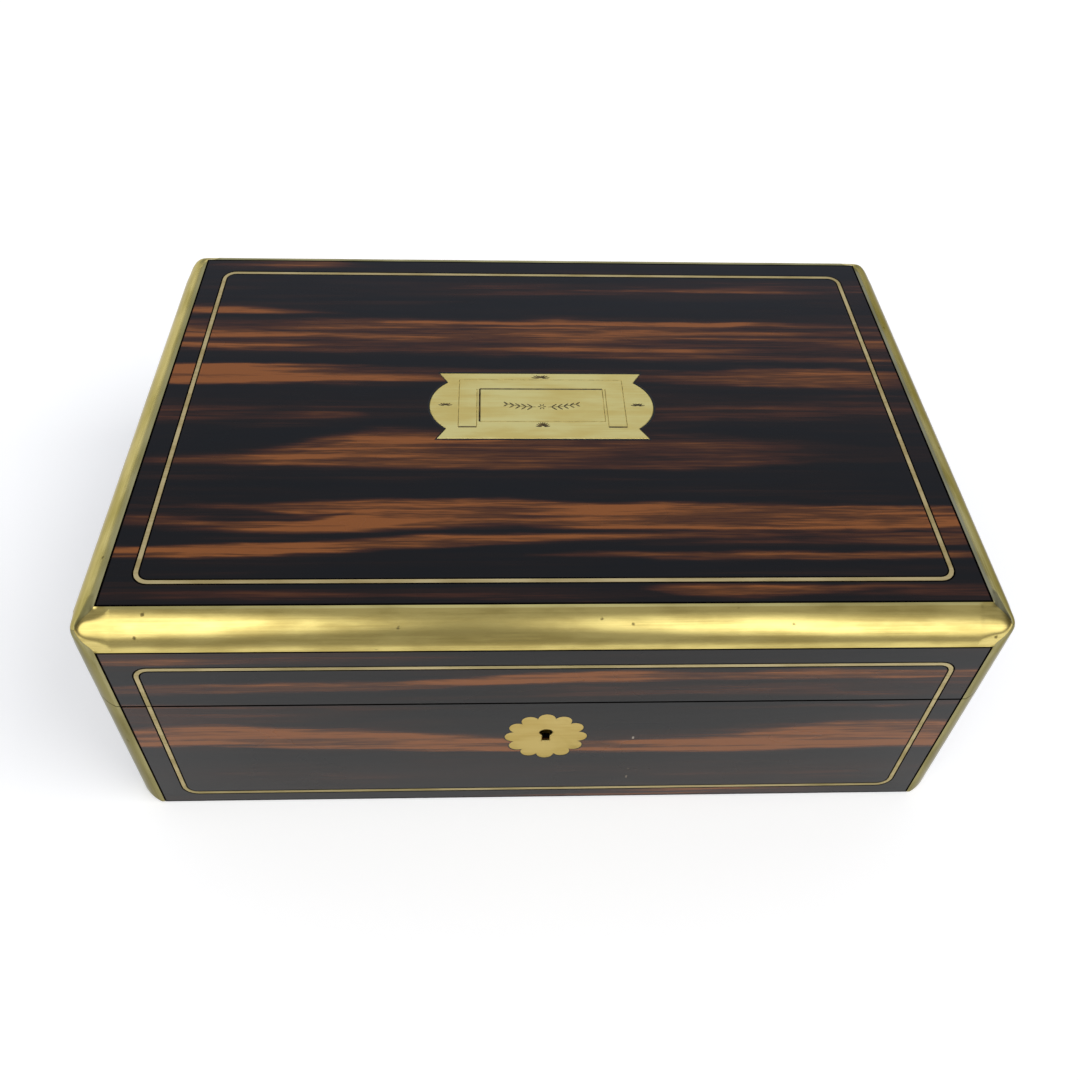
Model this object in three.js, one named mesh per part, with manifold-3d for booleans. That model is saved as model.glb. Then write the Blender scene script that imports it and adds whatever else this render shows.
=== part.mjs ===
// A brass-bound coromandel dressing case with a hinged lid, a box lock and a lift-out tray.
// Millimetres, +Z up. The origin is the centre of the underside, the front faces -Y.
import * as THREE from "three";
import { mergeVertices } from "three/addons/utils/BufferGeometryUtils.js";
import Module from "manifold-3d";

const wasm = await Module();
wasm.setup();

// Driving sizes of the case
const caseWidth = 340;
const caseDepth = 234;
const caseHeight = 120;
const jointHeight = 74.5; // the saw cut that parts the lid from the base
const sawCut = 0.4; // the open line left by that cut
const glueLine = 0.2; // between pieces that are glued or pinned together
const cutOverrun = 2; // how far a cutting solid runs past what it cuts
const weldTolerance = 1e-4; // corners nearer than this are one corner
const arcSegments = 3; // an arc gets twice as many facets

// Veneer, brass edging and carcass boards
const skinThickness = 1.6; // veneer and brass sheet alike, so both lie flush
const edgeWidth = 11.4; // of the brass on each face
const edgeLand = 1.3; // the flat border of the brass beside the veneer
const edgeCrown = 1.2; // how far the moulding swells above a plain chamfer
const boardThickness = 9;
const topBoardThickness = 8;
const bottomBoardThickness = 7;
const baizeThickness = 0.8;
const baizeInset = 3;

// Brass stringing let into the veneer
const stringWidth = 1.6;
const stringDepth = 1;
const stringRadius = 5; // corner radius on the centre line
const topStringInset = 22.2; // from the case's faces to the centre line
const frontStringInset = 22;
const frontStringTop = 22;
const frontStringBottom = 8.3;

// Plate let into the lid
const plateThickness = 1;
const plateHornX = 43.8; // the pointed horns at the four corners
const plateHornY = 20.7;
const plateNotchX = 40; // the notches between horn and lobe
const plateNotchY = 14.5;
const plateLobeX = 47.3; // the tip of the round lobe at each end
const plateSegments = 8;

// Scalloped keyhole escutcheon
const escutcheonHeight = 50; // of its centre above the table
const escutcheonThickness = 1;
const escutcheonLobes = 12;
const lobeCentreRadius = 12.85;
const lobeRadius = 3.4;
const lobeSegments = 5;
const keyholeRadius = 2.6;
const keyholeSlotWidth = 3;
const keyholeRise = 2.6; // of the round head's centre above the escutcheon's
const keyholeDrop = 5.9; // from the round head's centre to the foot of the slot
const keyholeEase = 0.3; // each layer behind the escutcheon is cut this much wider

// Inner linings of the base, which stand up as a dust lip
const liningThickness = 3;
const lipHeight = 3;
const lipSetback = 0.8; // keeps the lip clear of the lid as it swings
const lipChamfer = 0.8;
const ledgeWidth = 5; // the tray rests on a ledge along each end lining
const ledgeHeight = 38;
const floorPadThickness = 1.5;

// Lift-out tray
const trayClearance = 0.6;
const trayWall = 4;
const trayTopDrop = 3.3; // below the rim of the base
const trayBottomThickness = 2.6;
const trayEdgeChamfer = 0.7;
const dividerThickness = 4;
const dividerDrop = 1; // below the tray's own rim
const dividerY = 30; // middle of the long divider
const crossDividerShares = [-0.6, -0.21, 0.21]; // of half the tray's inner width, clear of the finger hole
const gripWidth = 74; // raised part of the long divider
const gripRise = 3;
const gripShoulder = 14;
const fingerHoleWidth = 40;
const fingerHoleHeight = 13;
const fingerHoleDrop = 7; // from the grip's top edge

// Mirror in the lid
const lidLiningThickness = 4;
const mirrorBorderX = 14; // of the panel that shows at each end of the frame
const mirrorBorderY = 13; // and along its front and back
const mirrorFrameHeight = 6;
const mirrorFrameSection = 22;
const mirrorThickness = 3;
const mirrorRebate = 2.4; // how far the glass runs under the frame
const mirrorClearance = 0.3;
const frameBevel = 2; // round the outside of the frame
const frameSlope = 5; // width of the slope down to the glass
const frameLip = 1; // thickness of the frame where it laps the glass

// Hinges
const hingeFromEnd = 70; // from the case's end to the middle of a hinge
const hingeLength = 50;
const leafThickness = 1.5;
const leafDepth = 9.3; // from the knuckles' centre line
const knuckleRadius = 2.7;
const knuckleCount = 5;
const knuckleGap = 0.3;
const knuckleFacets = 16;
const pinRadius = 1.2;
const pinClearance = 0.1;
const pinOverhang = 0.4;
const hingeClearance = 0.35;

// Box lock, the link plate whose hooks drop into it, and its bolt
const lockWidth = 58;
const lockBodyHeight = 33;
const lockDepth = 6.8;
const lockWall = 1.2;
const selvedgeThickness = 1.6; // the lock's top plate, flush with the rim
const lockClearance = 0.3;
const drillPinRadius = 0.9; // the pin that a pipe key turns on
const drillPinFacets = 12;
const hookFromLeft = 15.5; // from the lock's left end to the left-hand hook
const hookFromRight = 9.5; // from its right end to the right-hand hook
const hookThickness = 2.2;
const hookStem = 3;
const hookFoot = 5;
const hookFootHeight = 2.4;
const hookDrop = 11; // below the rim
const slotEase = 0.8; // round each hook in the lock's top plate
const boltThickness = 2.2;
const boltThrow = 5; // travel of the bolt when the key turns
const fingerLength = 5.5;
const fingerHeight = 3;
const fingerLift = 0.6; // of the fingers above the hooks' feet
const fingerGap = 0.5; // between a withdrawn finger and its hook
const boltPost = 3;
const boltBarHeight = 4.5;
const boltBarDrop = 2.3; // of the bar's top edge below the hooks' feet
const boltTail = 6; // of the bar past the right-hand hook's stem
const talonWidth = 6;
const talonDepth = 2;
const boltSeat = 0.3;
const boltLedge = 9; // length of the two ledges that carry the bolt
const boltLedgeHeight = 3;

// Derived places
const halfWidth = caseWidth / 2;
const halfDepth = caseDepth / 2;
const rimZ = jointHeight - sawCut / 2;
const lidZ = jointHeight + sawCut / 2;
const wallFootZ = baizeThickness + glueLine;
const coreInset = skinThickness + glueLine; // outside of the carcass boards
const wallInset = coreInset + boardThickness; // their inside
const liningInset = wallInset + glueLine;
const wellInset = liningInset + liningThickness;
const floorZ = wallFootZ + bottomBoardThickness;
const topBoardZ = caseHeight - coreInset - topBoardThickness;
const railTopZ = topBoardZ - glueLine;
const keyholeZ = escutcheonHeight + keyholeRise;
const hingeX = halfWidth - hingeFromEnd;

// The brass moulding's arc runs between its two lands and swells above the chord between them
const chord = (edgeWidth - edgeLand) * Math.SQRT2;
const edgeRadius = chord ** 2 / (8 * edgeCrown) + edgeCrown / 2;
const edgeCentre = ((edgeWidth - edgeLand) / Math.SQRT2 - edgeCrown + edgeRadius) / Math.SQRT2;

// The outer faces of the case, each as an inward normal and its distance from the origin
const faces = {
  left: { normal: [1, 0, 0], offset: halfWidth },
  right: { normal: [-1, 0, 0], offset: halfWidth },
  front: { normal: [0, 1, 0], offset: halfDepth },
  back: { normal: [0, -1, 0], offset: halfDepth },
  top: { normal: [0, 0, -1], offset: caseHeight },
};
const neighbours = {
  front: ["left", "right"],
  back: ["left", "right"],
  left: ["front", "back"],
  right: ["front", "back"],
};
const walls = Object.keys(neighbours);

// Materials
const finish = (color, roughness, metalness) =>
  new THREE.MeshStandardMaterial({ color, roughness, metalness });
const coromandel = finish(0x3a2319, 0.3, 0);
const mahogany = finish(0x6b3a22, 0.5, 0);
const brass = finish(0xc8b25c, 0.3, 1);
const steel = finish(0x8a8a88, 0.4, 1);
const velvet = finish(0x4a1420, 0.95, 0);
const leather = finish(0x1f3a2c, 0.6, 0);
const baize = finish(0x23402c, 1, 0);
const mirror = finish(0xd8dcdc, 0.05, 1);

// Solid and mesh helpers

function solidOf(geometry) {
  const plain = geometry.index ? geometry.toNonIndexed() : geometry.clone();
  plain.deleteAttribute("normal");
  plain.deleteAttribute("uv");
  const merged = mergeVertices(plain, weldTolerance);
  return new wasm.Manifold(
    new wasm.Mesh({
      numProp: 3,
      vertProperties: merged.attributes.position.array,
      triVerts: new Uint32Array(merged.index.array),
    }),
  );
}

function geometryOf(solid) {
  const mesh = solid.getMesh();
  const geometry = new THREE.BufferGeometry();
  geometry.setAttribute("position", new THREE.BufferAttribute(mesh.vertProperties, 3));
  geometry.setIndex(new THREE.BufferAttribute(mesh.triVerts, 1));
  geometry.computeVertexNormals();
  return geometry;
}

function addMesh(group, name, solid, material) {
  const mesh = new THREE.Mesh(geometryOf(solid), material.clone());
  mesh.name = name;
  group.add(mesh);
}

// A block from its lowest corner to its highest.
function block([x0, y0, z0], [x1, y1, z1]) {
  const geometry = new THREE.BoxGeometry(x1 - x0, y1 - y0, z1 - z0);
  geometry.translate((x0 + x1) / 2, (y0 + y1) / 2, (z0 + z1) / 2);
  return solidOf(geometry);
}

function extruded(shape, depth, curveSegments) {
  return new THREE.ExtrudeGeometry(shape, { depth, bevelEnabled: false, curveSegments });
}

// An outline drawn in plan, raised from z0 to z1.
function planPrism(shape, z0, z1, curveSegments = arcSegments) {
  return solidOf(extruded(shape, z1 - z0, curveSegments).translate(0, 0, z0));
}

// An outline drawn in x and z, running back from y0 to y1.
function frontPrism(shape, y0, y1, curveSegments = arcSegments) {
  return solidOf(extruded(shape, y1 - y0, curveSegments).rotateX(Math.PI / 2).translate(0, y1, 0));
}

// An outline drawn in y and z, running along X over the given length, centred.
function sidePrism(shape, length) {
  const geometry = extruded(shape, length, arcSegments).translate(0, 0, -length / 2);
  return solidOf(geometry.rotateX(Math.PI / 2).rotateZ(Math.PI / 2));
}

// A cylinder along X between x0 and x1.
function rodAlongX(radius, x0, x1, y, z, facets) {
  const geometry = new THREE.CylinderGeometry(radius, radius, x1 - x0, facets);
  return solidOf(geometry.rotateZ(Math.PI / 2).translate((x0 + x1) / 2, y, z));
}

// Keeps what lies at least `distance` inside a face.
function keepInside(solid, face, distance) {
  const { normal, offset } = faces[face];
  return solid.trimByPlane(normal, distance - offset);
}

// Keeps what lies within `distance` of a face.
function keepWithin(solid, face, distance) {
  const { normal, offset } = faces[face];
  return solid.trimByPlane(normal.map((n) => -n), offset - distance);
}

// Keeps what is nearer to face `near` than to face `far`, less half a glue line: a mitre.
function mitre(solid, near, far) {
  const a = faces[far];
  const b = faces[near];
  const normal = a.normal.map((n, i) => (n - b.normal[i]) / Math.SQRT2);
  return solid.trimByPlane(normal, glueLine / 2 - (a.offset - b.offset) / Math.SQRT2);
}

function keepAbove(solid, z) {
  return solid.trimByPlane([0, 0, 1], z);
}

function keepBelow(solid, z) {
  return solid.trimByPlane([0, 0, -1], -z);
}

// A plank on one wall, between two depths from its face and short of the faces at its ends.
function plank(face, near, far, endInset, z0, z1) {
  let solid = block([-halfWidth, -halfDepth, z0], [halfWidth, halfDepth, z1]);
  solid = keepWithin(keepInside(solid, face, near), face, far);
  for (const end of neighbours[face]) solid = keepInside(solid, end, endInset);
  return solid;
}

// A flat panel that fills the case's plan, short of its faces by the given insets.
function panel(insetX, insetY, z0, z1) {
  const x = halfWidth - insetX;
  const y = halfDepth - insetY;
  return block([-x, -y, z0], [x, y, z1]);
}

function addRoundedRectangle(path, x0, y0, x1, y1, radius) {
  path.absarc(x1 - radius, y0 + radius, radius, -Math.PI / 2, 0, false);
  path.absarc(x1 - radius, y1 - radius, radius, 0, Math.PI / 2, false);
  path.absarc(x0 + radius, y1 - radius, radius, Math.PI / 2, Math.PI, false);
  path.absarc(x0 + radius, y0 + radius, radius, Math.PI, 1.5 * Math.PI, false);
  return path;
}

// The moulding's arc at the corner in quadrant `quarter`, counted anticlockwise from +x +y.
function addMouldedCorner(path, halfX, halfY, quarter, inset) {
  const radius = edgeRadius - inset;
  const start = Math.acos((edgeCentre - inset) / radius);
  const turn = (quarter * Math.PI) / 2;
  const x = Math.sign(Math.cos(turn + Math.PI / 4)) * (halfX - edgeCentre);
  const y = Math.sign(Math.sin(turn + Math.PI / 4)) * (halfY - edgeCentre);
  path.absarc(x, y, radius, turn + start, turn + Math.PI / 2 - start, false);
}

// The upright outline of the case seen from one side: two moulded corners above a square foot.
function uprightOutline(half, inset) {
  const shape = new THREE.Shape();
  shape.moveTo(-half + inset, -caseHeight);
  shape.lineTo(half - inset, -caseHeight);
  addMouldedCorner(shape, half, caseHeight, 0, inset);
  addMouldedCorner(shape, half, caseHeight, 1, inset);
  return shape;
}

// The case's whole outside, sunk by `inset`: moulded upright and top edges, square foot.
function mouldedBlock(inset) {
  const plan = new THREE.Shape();
  for (let quarter = 0; quarter < 4; quarter++) addMouldedCorner(plan, halfWidth, halfDepth, quarter, inset);
  const fromFront = frontPrism(uprightOutline(halfWidth, inset), -halfDepth, halfDepth);
  const fromSide = sidePrism(uprightOutline(halfDepth, inset), caseWidth);
  return planPrism(plan, 0, caseHeight).intersect(fromFront).intersect(fromSide);
}

// A rectangular frame mitred round a section given as [depth in from the outside, z] points,
// which start at the outer foot and climb the outside first.
function mitredFrame(halfX, halfY, section) {
  const corners = [[-1, -1], [1, -1], [1, 1], [-1, 1]];
  const count = section.length;
  const positions = corners.flatMap(([sx, sy]) =>
    section.flatMap(([inward, z]) => [sx * (halfX - inward), sy * (halfY - inward), z]),
  );
  const index = [];
  for (let side = 0; side < corners.length; side++) {
    const next = (side + 1) % corners.length;
    for (let i = 0; i < count; i++) {
      const j = (i + 1) % count;
      const [a, b] = [side * count + i, side * count + j];
      const [c, d] = [next * count + j, next * count + i];
      index.push(a, d, b, b, d, c);
    }
  }
  const geometry = new THREE.BufferGeometry();
  geometry.setAttribute("position", new THREE.Float32BufferAttribute(positions, 3));
  geometry.setIndex(index);
  return solidOf(geometry);
}

// Carcass boards: front and back run the full width, the ends fit between them

const core = mouldedBlock(coreInset);

function wallBoard(face, z0, z1) {
  let board = keepWithin(keepBelow(keepAbove(core, z0), z1), face, wallInset);
  if (face === "left" || face === "right")
    for (const end of neighbours[face]) board = keepInside(board, end, wallInset + glueLine);
  return board;
}

// Brass edging

const brassShell = mouldedBlock(0).subtract(mouldedBlock(skinThickness));

// The strip of edging where two faces meet, mitred against the faces at its ends.
function edgeStrip(faceA, faceB, ends) {
  let strip = keepWithin(keepWithin(brassShell, faceA, edgeWidth), faceB, edgeWidth);
  for (const end of ends) strip = mitre(mitre(strip, faceA, end), faceB, end);
  return strip;
}

function addEdging(base, lid) {
  for (const face of walls) {
    const strip = edgeStrip(face, "top", neighbours[face]);
    addMesh(lid, `lid_${face}_edging`, strip, brass);
  }
  for (const face of ["front", "back"])
    for (const side of neighbours[face]) {
      const upright = edgeStrip(face, side, ["top"]);
      addMesh(lid, `lid_${face}_${side}_edging`, keepAbove(upright, lidZ), brass);
      addMesh(base, `base_${face}_${side}_edging`, keepBelow(keepAbove(upright, wallFootZ), rimZ), brass);
    }
}

// Stringing: a loop on the lid, and one on the front that the saw cut parts in two

function stringLoop(x0, y0, x1, y1, ease) {
  const half = stringWidth / 2 + ease;
  const loop = new THREE.Shape();
  addRoundedRectangle(loop, x0 - half, y0 - half, x1 + half, y1 + half, stringRadius + half);
  const inside = new THREE.Path();
  addRoundedRectangle(inside, x0 + half, y0 + half, x1 - half, y1 - half, stringRadius - half);
  loop.holes.push(inside);
  return loop;
}

function topString(ease) {
  const x = halfWidth - topStringInset;
  const y = halfDepth - topStringInset;
  return planPrism(stringLoop(-x, -y, x, y, ease), caseHeight - stringDepth - ease, caseHeight);
}

function frontString(ease) {
  const x = halfWidth - frontStringInset;
  const loop = stringLoop(-x, frontStringBottom, x, caseHeight - frontStringTop, ease);
  return frontPrism(loop, -halfDepth, -halfDepth + stringDepth + ease);
}

// Plate on the lid: straight long edges, a horn at each corner and a round lobe at each end

function lidPlate(ease) {
  const hornX = plateHornX + ease;
  const hornY = plateHornY + ease;
  const notchX = plateNotchX + 2 * ease;
  const lobeX = plateLobeX + ease;
  // The lobe is the arc through both notches and the tip.
  const centre = (lobeX ** 2 - notchX ** 2 - plateNotchY ** 2) / (2 * (lobeX - notchX));
  const radius = lobeX - centre;
  const half = Math.asin(plateNotchY / radius);
  const shape = new THREE.Shape();
  shape.moveTo(-hornX, -hornY);
  for (const side of [1, -1]) {
    shape.lineTo(side * hornX, -side * hornY);
    const middle = side > 0 ? 0 : Math.PI;
    shape.absarc(side * centre, 0, radius, middle - half, middle + half, false);
    shape.lineTo(side * hornX, side * hornY);
  }
  return planPrism(shape, caseHeight - plateThickness - ease, caseHeight, plateSegments);
}

// Escutcheon: a ring of lobes, each drawn from where it leaves the last to where it meets the next

function escutcheonOutline(ease) {
  const radius = lobeRadius + ease;
  const halfStep = Math.PI / escutcheonLobes;
  const halfChord = lobeCentreRadius * Math.sin(halfStep);
  const valley = lobeCentreRadius * Math.cos(halfStep) + Math.sqrt(radius ** 2 - halfChord ** 2);
  const reach = Math.atan2(valley * Math.sin(halfStep), valley * Math.cos(halfStep) - lobeCentreRadius);
  const points = [];
  for (let lobe = 0; lobe < escutcheonLobes; lobe++) {
    const turn = 2 * halfStep * lobe;
    for (let k = 0; k < lobeSegments; k++) {
      const angle = turn - reach + (2 * reach * k) / lobeSegments;
      points.push(
        new THREE.Vector2(
          lobeCentreRadius * Math.cos(turn) + radius * Math.cos(angle),
          lobeCentreRadius * Math.sin(turn) + radius * Math.sin(angle) + escutcheonHeight,
        ),
      );
    }
  }
  return new THREE.Shape(points);
}

function escutcheon(ease) {
  return frontPrism(escutcheonOutline(ease), -halfDepth, -halfDepth + escutcheonThickness + ease);
}

function keyhole(ease, y0, y1) {
  const radius = keyholeRadius + ease;
  const half = keyholeSlotWidth / 2 + ease;
  const foot = keyholeZ - keyholeDrop - ease;
  const meet = Math.asin(half / radius);
  const shape = new THREE.Shape();
  shape.moveTo(-half, foot);
  shape.lineTo(half, foot);
  shape.absarc(0, keyholeZ, radius, meet - Math.PI / 2, 1.5 * Math.PI - meet, false);
  return frontPrism(shape, y0, y1, 2 * arcSegments);
}

// Hinges: the knuckles turn on the line where the back face meets the saw cut

function knuckleSpan(x, index) {
  const pitch = hingeLength / knuckleCount;
  const start = x - hingeLength / 2 + index * pitch;
  return [start + knuckleGap / 2, start + pitch - knuckleGap / 2];
}

// The space of one leaf above (up = 1) or below (up = -1) the saw cut.
function leafBlock(x0, x1, y0, y1, up, near, thickness) {
  const far = near + up * thickness;
  return block([x0, y0, Math.min(near, far)], [x1, y1, Math.max(near, far)]);
}

function hingeLeaf(x, up) {
  const near = up > 0 ? lidZ : rimZ;
  const inner = halfDepth - leafDepth;
  const outer = halfDepth - knuckleRadius - knuckleGap;
  const half = hingeLength / 2;
  let leaf = leafBlock(x - half, x + half, inner, outer, up, near, leafThickness);
  for (let i = up > 0 ? 1 : 0; i < knuckleCount; i += 2) {
    const [x0, x1] = knuckleSpan(x, i);
    leaf = leaf
      .add(rodAlongX(knuckleRadius, x0, x1, halfDepth, jointHeight, knuckleFacets))
      .add(leafBlock(x0, x1, inner, halfDepth, up, near, leafThickness));
  }
  const reach = half + cutOverrun;
  const radius = pinRadius + pinClearance;
  return leaf.subtract(rodAlongX(radius, x - reach, x + reach, halfDepth, jointHeight, knuckleFacets));
}

function hingePin(x) {
  const reach = hingeLength / 2 + pinOverhang;
  return rodAlongX(pinRadius, x - reach, x + reach, halfDepth, jointHeight, knuckleFacets);
}

// The rebate for one leaf and its share of the barrel.
function hingeRebate(x, up) {
  const near = (up > 0 ? lidZ : rimZ) - up * cutOverrun;
  const depth = leafThickness + glueLine + cutOverrun;
  const reach = hingeLength / 2 + pinOverhang + hingeClearance;
  const inner = halfDepth - leafDepth - hingeClearance;
  const seat = leafBlock(x - reach, x + reach, inner, halfDepth + cutOverrun, up, near, depth);
  const radius = knuckleRadius + hingeClearance;
  return seat.add(rodAlongX(radius, x - reach, x + reach, halfDepth, jointHeight, knuckleFacets));
}

function withHingeRebates(solid, up) {
  return solid.subtract(hingeRebate(-hingeX, up)).subtract(hingeRebate(hingeX, up));
}

// Lock: its case in the front wall, the hooks on the lid's link plate, and the bolt between them

const lockBackY = -halfDepth + wallInset;
const lockFrontY = lockBackY - lockDepth;
const lockMidY = (lockBackY + lockFrontY) / 2;
const lockTopZ = rimZ - selvedgeThickness;
const lockFootZ = lockTopZ - lockBodyHeight;
const lockHalf = lockWidth / 2;
const hookZ = rimZ - hookDrop;
const fingerZ = hookZ + hookFootHeight + fingerLift;
const boltTopZ = hookZ - boltBarDrop;
const boltZ = boltTopZ - boltBarHeight;
const hookStems = [hookFromLeft - lockHalf, lockHalf - hookFromRight - hookStem];

// The mortise in the front wall, open at the rim and towards the inside.
function lockMortise() {
  const reach = lockHalf + lockClearance;
  return block(
    [-reach, lockFrontY - lockClearance, lockFootZ - lockClearance],
    [reach, lockBackY + cutOverrun, rimZ + cutOverrun],
  );
}

function lockLedge(side) {
  const inner = side * (lockHalf - lockWall - boltLedge);
  const outer = side * (lockHalf - lockWall / 2);
  return block(
    [Math.min(inner, outer), lockFrontY + lockWall / 2, boltZ - boltSeat - boltLedgeHeight],
    [Math.max(inner, outer), lockBackY - lockWall / 2, boltZ - boltSeat],
  );
}

function lockCase() {
  const hollow = block(
    [-lockHalf + lockWall, lockFrontY + lockWall, lockFootZ + lockWall],
    [lockHalf - lockWall, lockBackY - lockWall, lockTopZ],
  );
  let shell = block([-lockHalf, lockFrontY, lockFootZ], [lockHalf, lockBackY, rimZ]).subtract(hollow);
  shell = shell.add(lockLedge(-1)).add(lockLedge(1));
  const reach = hookThickness / 2 + slotEase;
  for (const left of hookStems)
    shell = shell.subtract(
      block(
        [left - hookFoot - slotEase, lockMidY - reach, lockTopZ - cutOverrun],
        [left + hookStem + slotEase, lockMidY + reach, rimZ + cutOverrun],
      ),
    );
  shell = shell.subtract(keyhole(2 * keyholeEase, lockFrontY - cutOverrun, lockFrontY + lockWall));
  const pinEnd = lockBackY - lockWall / 2;
  const pin = new THREE.CylinderGeometry(drillPinRadius, drillPinRadius, pinEnd - lockFrontY, drillPinFacets);
  return shell.add(solidOf(pin.translate(0, (lockFrontY + pinEnd) / 2, keyholeZ)));
}

// The lid's half of the lock: a plate with two hooks whose feet point left.
function linkPlate() {
  let plate = block([-lockHalf, lockFrontY, lidZ], [lockHalf, lockBackY, lidZ + selvedgeThickness]);
  for (const left of hookStems) {
    const shape = new THREE.Shape();
    shape.moveTo(left, lidZ + selvedgeThickness / 2);
    shape.lineTo(left, hookZ + hookFootHeight);
    shape.lineTo(left - hookFoot, hookZ + hookFootHeight);
    shape.lineTo(left - hookFoot, hookZ + hookFootHeight / 2);
    shape.lineTo(left - hookFoot + hookFootHeight / 2, hookZ);
    shape.lineTo(left + hookStem, hookZ);
    shape.lineTo(left + hookStem, lidZ + selvedgeThickness / 2);
    plate = plate.add(frontPrism(shape, lockMidY - hookThickness / 2, lockMidY + hookThickness / 2));
  }
  return plate;
}

// The bolt, withdrawn: a bar with two posts whose fingers slide over the hooks' feet.
function lockBolt() {
  const y0 = lockMidY - boltThickness / 2;
  const y1 = lockMidY + boltThickness / 2;
  const tips = hookStems.map((left) => left - hookFoot - fingerGap);
  const barLeft = tips[0] - fingerLength - boltPost;
  const barRight = hookStems[1] + boltTail;
  let bolt = block([barLeft, y0, boltZ], [barRight, y1, boltTopZ]);
  for (const tip of tips) {
    const post = tip - fingerLength;
    const shape = new THREE.Shape();
    shape.moveTo(post - boltPost, boltTopZ - boltBarHeight / 2);
    shape.lineTo(post, boltTopZ - boltBarHeight / 2);
    shape.lineTo(post, fingerZ);
    shape.lineTo(tip, fingerZ);
    shape.lineTo(tip, fingerZ + fingerHeight / 2);
    shape.lineTo(tip - fingerHeight / 2, fingerZ + fingerHeight);
    shape.lineTo(post - boltPost, fingerZ + fingerHeight);
    bolt = bolt.add(frontPrism(shape, y0, y1));
  }
  // The talon is the notch that the key's bit turns in.
  const talonX = -boltThrow / 2;
  return bolt.subtract(
    block(
      [talonX - talonWidth / 2, y0 - cutOverrun, boltZ - cutOverrun],
      [talonX + talonWidth / 2, y1 + cutOverrun, boltZ + talonDepth],
    ),
  );
}

// Inner linings of the base, mitred at the corners, with a ledge for the tray at both ends

function addLinings(base) {
  const lipTop = rimZ + lipHeight;
  const footZ = floorZ + glueLine;
  const section = [
    [0, footZ],
    [0, rimZ],
    [lipSetback, rimZ],
    [lipSetback, lipTop - lipChamfer],
    [lipSetback + lipChamfer, lipTop],
    [liningThickness - lipChamfer, lipTop],
    [liningThickness, lipTop - lipChamfer],
    [liningThickness, footZ],
  ];
  const frame = mitredFrame(halfWidth - liningInset, halfDepth - liningInset, section);
  for (const face of walls) {
    let lining = frame;
    for (const end of neighbours[face]) lining = mitre(lining, face, end);
    if (face === "left" || face === "right") {
      const outer = liningInset + lipSetback;
      const inner = wellInset + ledgeWidth;
      lining = lining.add(plank(face, outer, inner, wellInset + glueLine, footZ, ledgeHeight));
    }
    addMesh(base, `base_${face}_lining`, lining, mahogany);
  }
}

// Tray

const trayHalfX = halfWidth - wellInset - trayClearance;
const trayHalfY = halfDepth - wellInset - trayClearance;
const trayFootZ = ledgeHeight + glueLine;
const trayTopZ = rimZ - trayTopDrop;
const trayFloorZ = trayFootZ + trayBottomThickness;
const trayInnerX = trayHalfX - trayWall - glueLine;
const trayInnerY = trayHalfY - trayWall - glueLine;
const dividerTopZ = trayTopZ - dividerDrop;
const dividerFrontY = dividerY - dividerThickness / 2;
const dividerBackY = dividerY + dividerThickness / 2;

function trayFrame() {
  return mitredFrame(trayHalfX, trayHalfY, [
    [0, trayFootZ],
    [0, trayTopZ - trayEdgeChamfer],
    [trayEdgeChamfer, trayTopZ],
    [trayWall - trayEdgeChamfer, trayTopZ],
    [trayWall, trayTopZ - trayEdgeChamfer],
    [trayWall, trayFootZ],
  ]);
}

// The long divider rises in the middle to a grip with a finger hole.
function longDivider() {
  const footZ = trayFloorZ + glueLine;
  const gripZ = dividerTopZ + gripRise;
  const half = gripWidth / 2;
  const crest = half - gripShoulder;
  const middle = half - gripShoulder / 2;
  const shape = new THREE.Shape();
  shape.moveTo(-trayInnerX, footZ);
  shape.lineTo(trayInnerX, footZ);
  shape.lineTo(trayInnerX, dividerTopZ);
  shape.lineTo(half, dividerTopZ);
  shape.bezierCurveTo(middle, dividerTopZ, middle, gripZ, crest, gripZ);
  shape.lineTo(-crest, gripZ);
  shape.bezierCurveTo(-middle, gripZ, -middle, dividerTopZ, -half, dividerTopZ);
  shape.lineTo(-trayInnerX, dividerTopZ);
  const holeTop = gripZ - fingerHoleDrop;
  const hole = new THREE.Path();
  const reach = fingerHoleWidth / 2;
  addRoundedRectangle(hole, -reach, holeTop - fingerHoleHeight, reach, holeTop, fingerHoleHeight / 2);
  shape.holes.push(hole);
  return frontPrism(shape, dividerFrontY, dividerBackY, 2 * arcSegments);
}

function addTray(tray) {
  const floor = block([-trayInnerX, -trayInnerY, trayFootZ], [trayInnerX, trayInnerY, trayFloorZ]);
  addMesh(tray, "tray_frame", trayFrame(), mahogany);
  addMesh(tray, "tray_bottom", floor, velvet);
  addMesh(tray, "tray_long_divider", longDivider(), mahogany);
  crossDividerShares.forEach((share, i) => {
    const x = share * trayInnerX;
    const divider = block(
      [x - dividerThickness / 2, dividerBackY + glueLine, trayFloorZ + glueLine],
      [x + dividerThickness / 2, trayInnerY, dividerTopZ],
    );
    addMesh(tray, `tray_cross_divider_${i + 1}`, divider, mahogany);
  });
}

// Mirror, its rebated frame and the leather panel behind them

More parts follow.
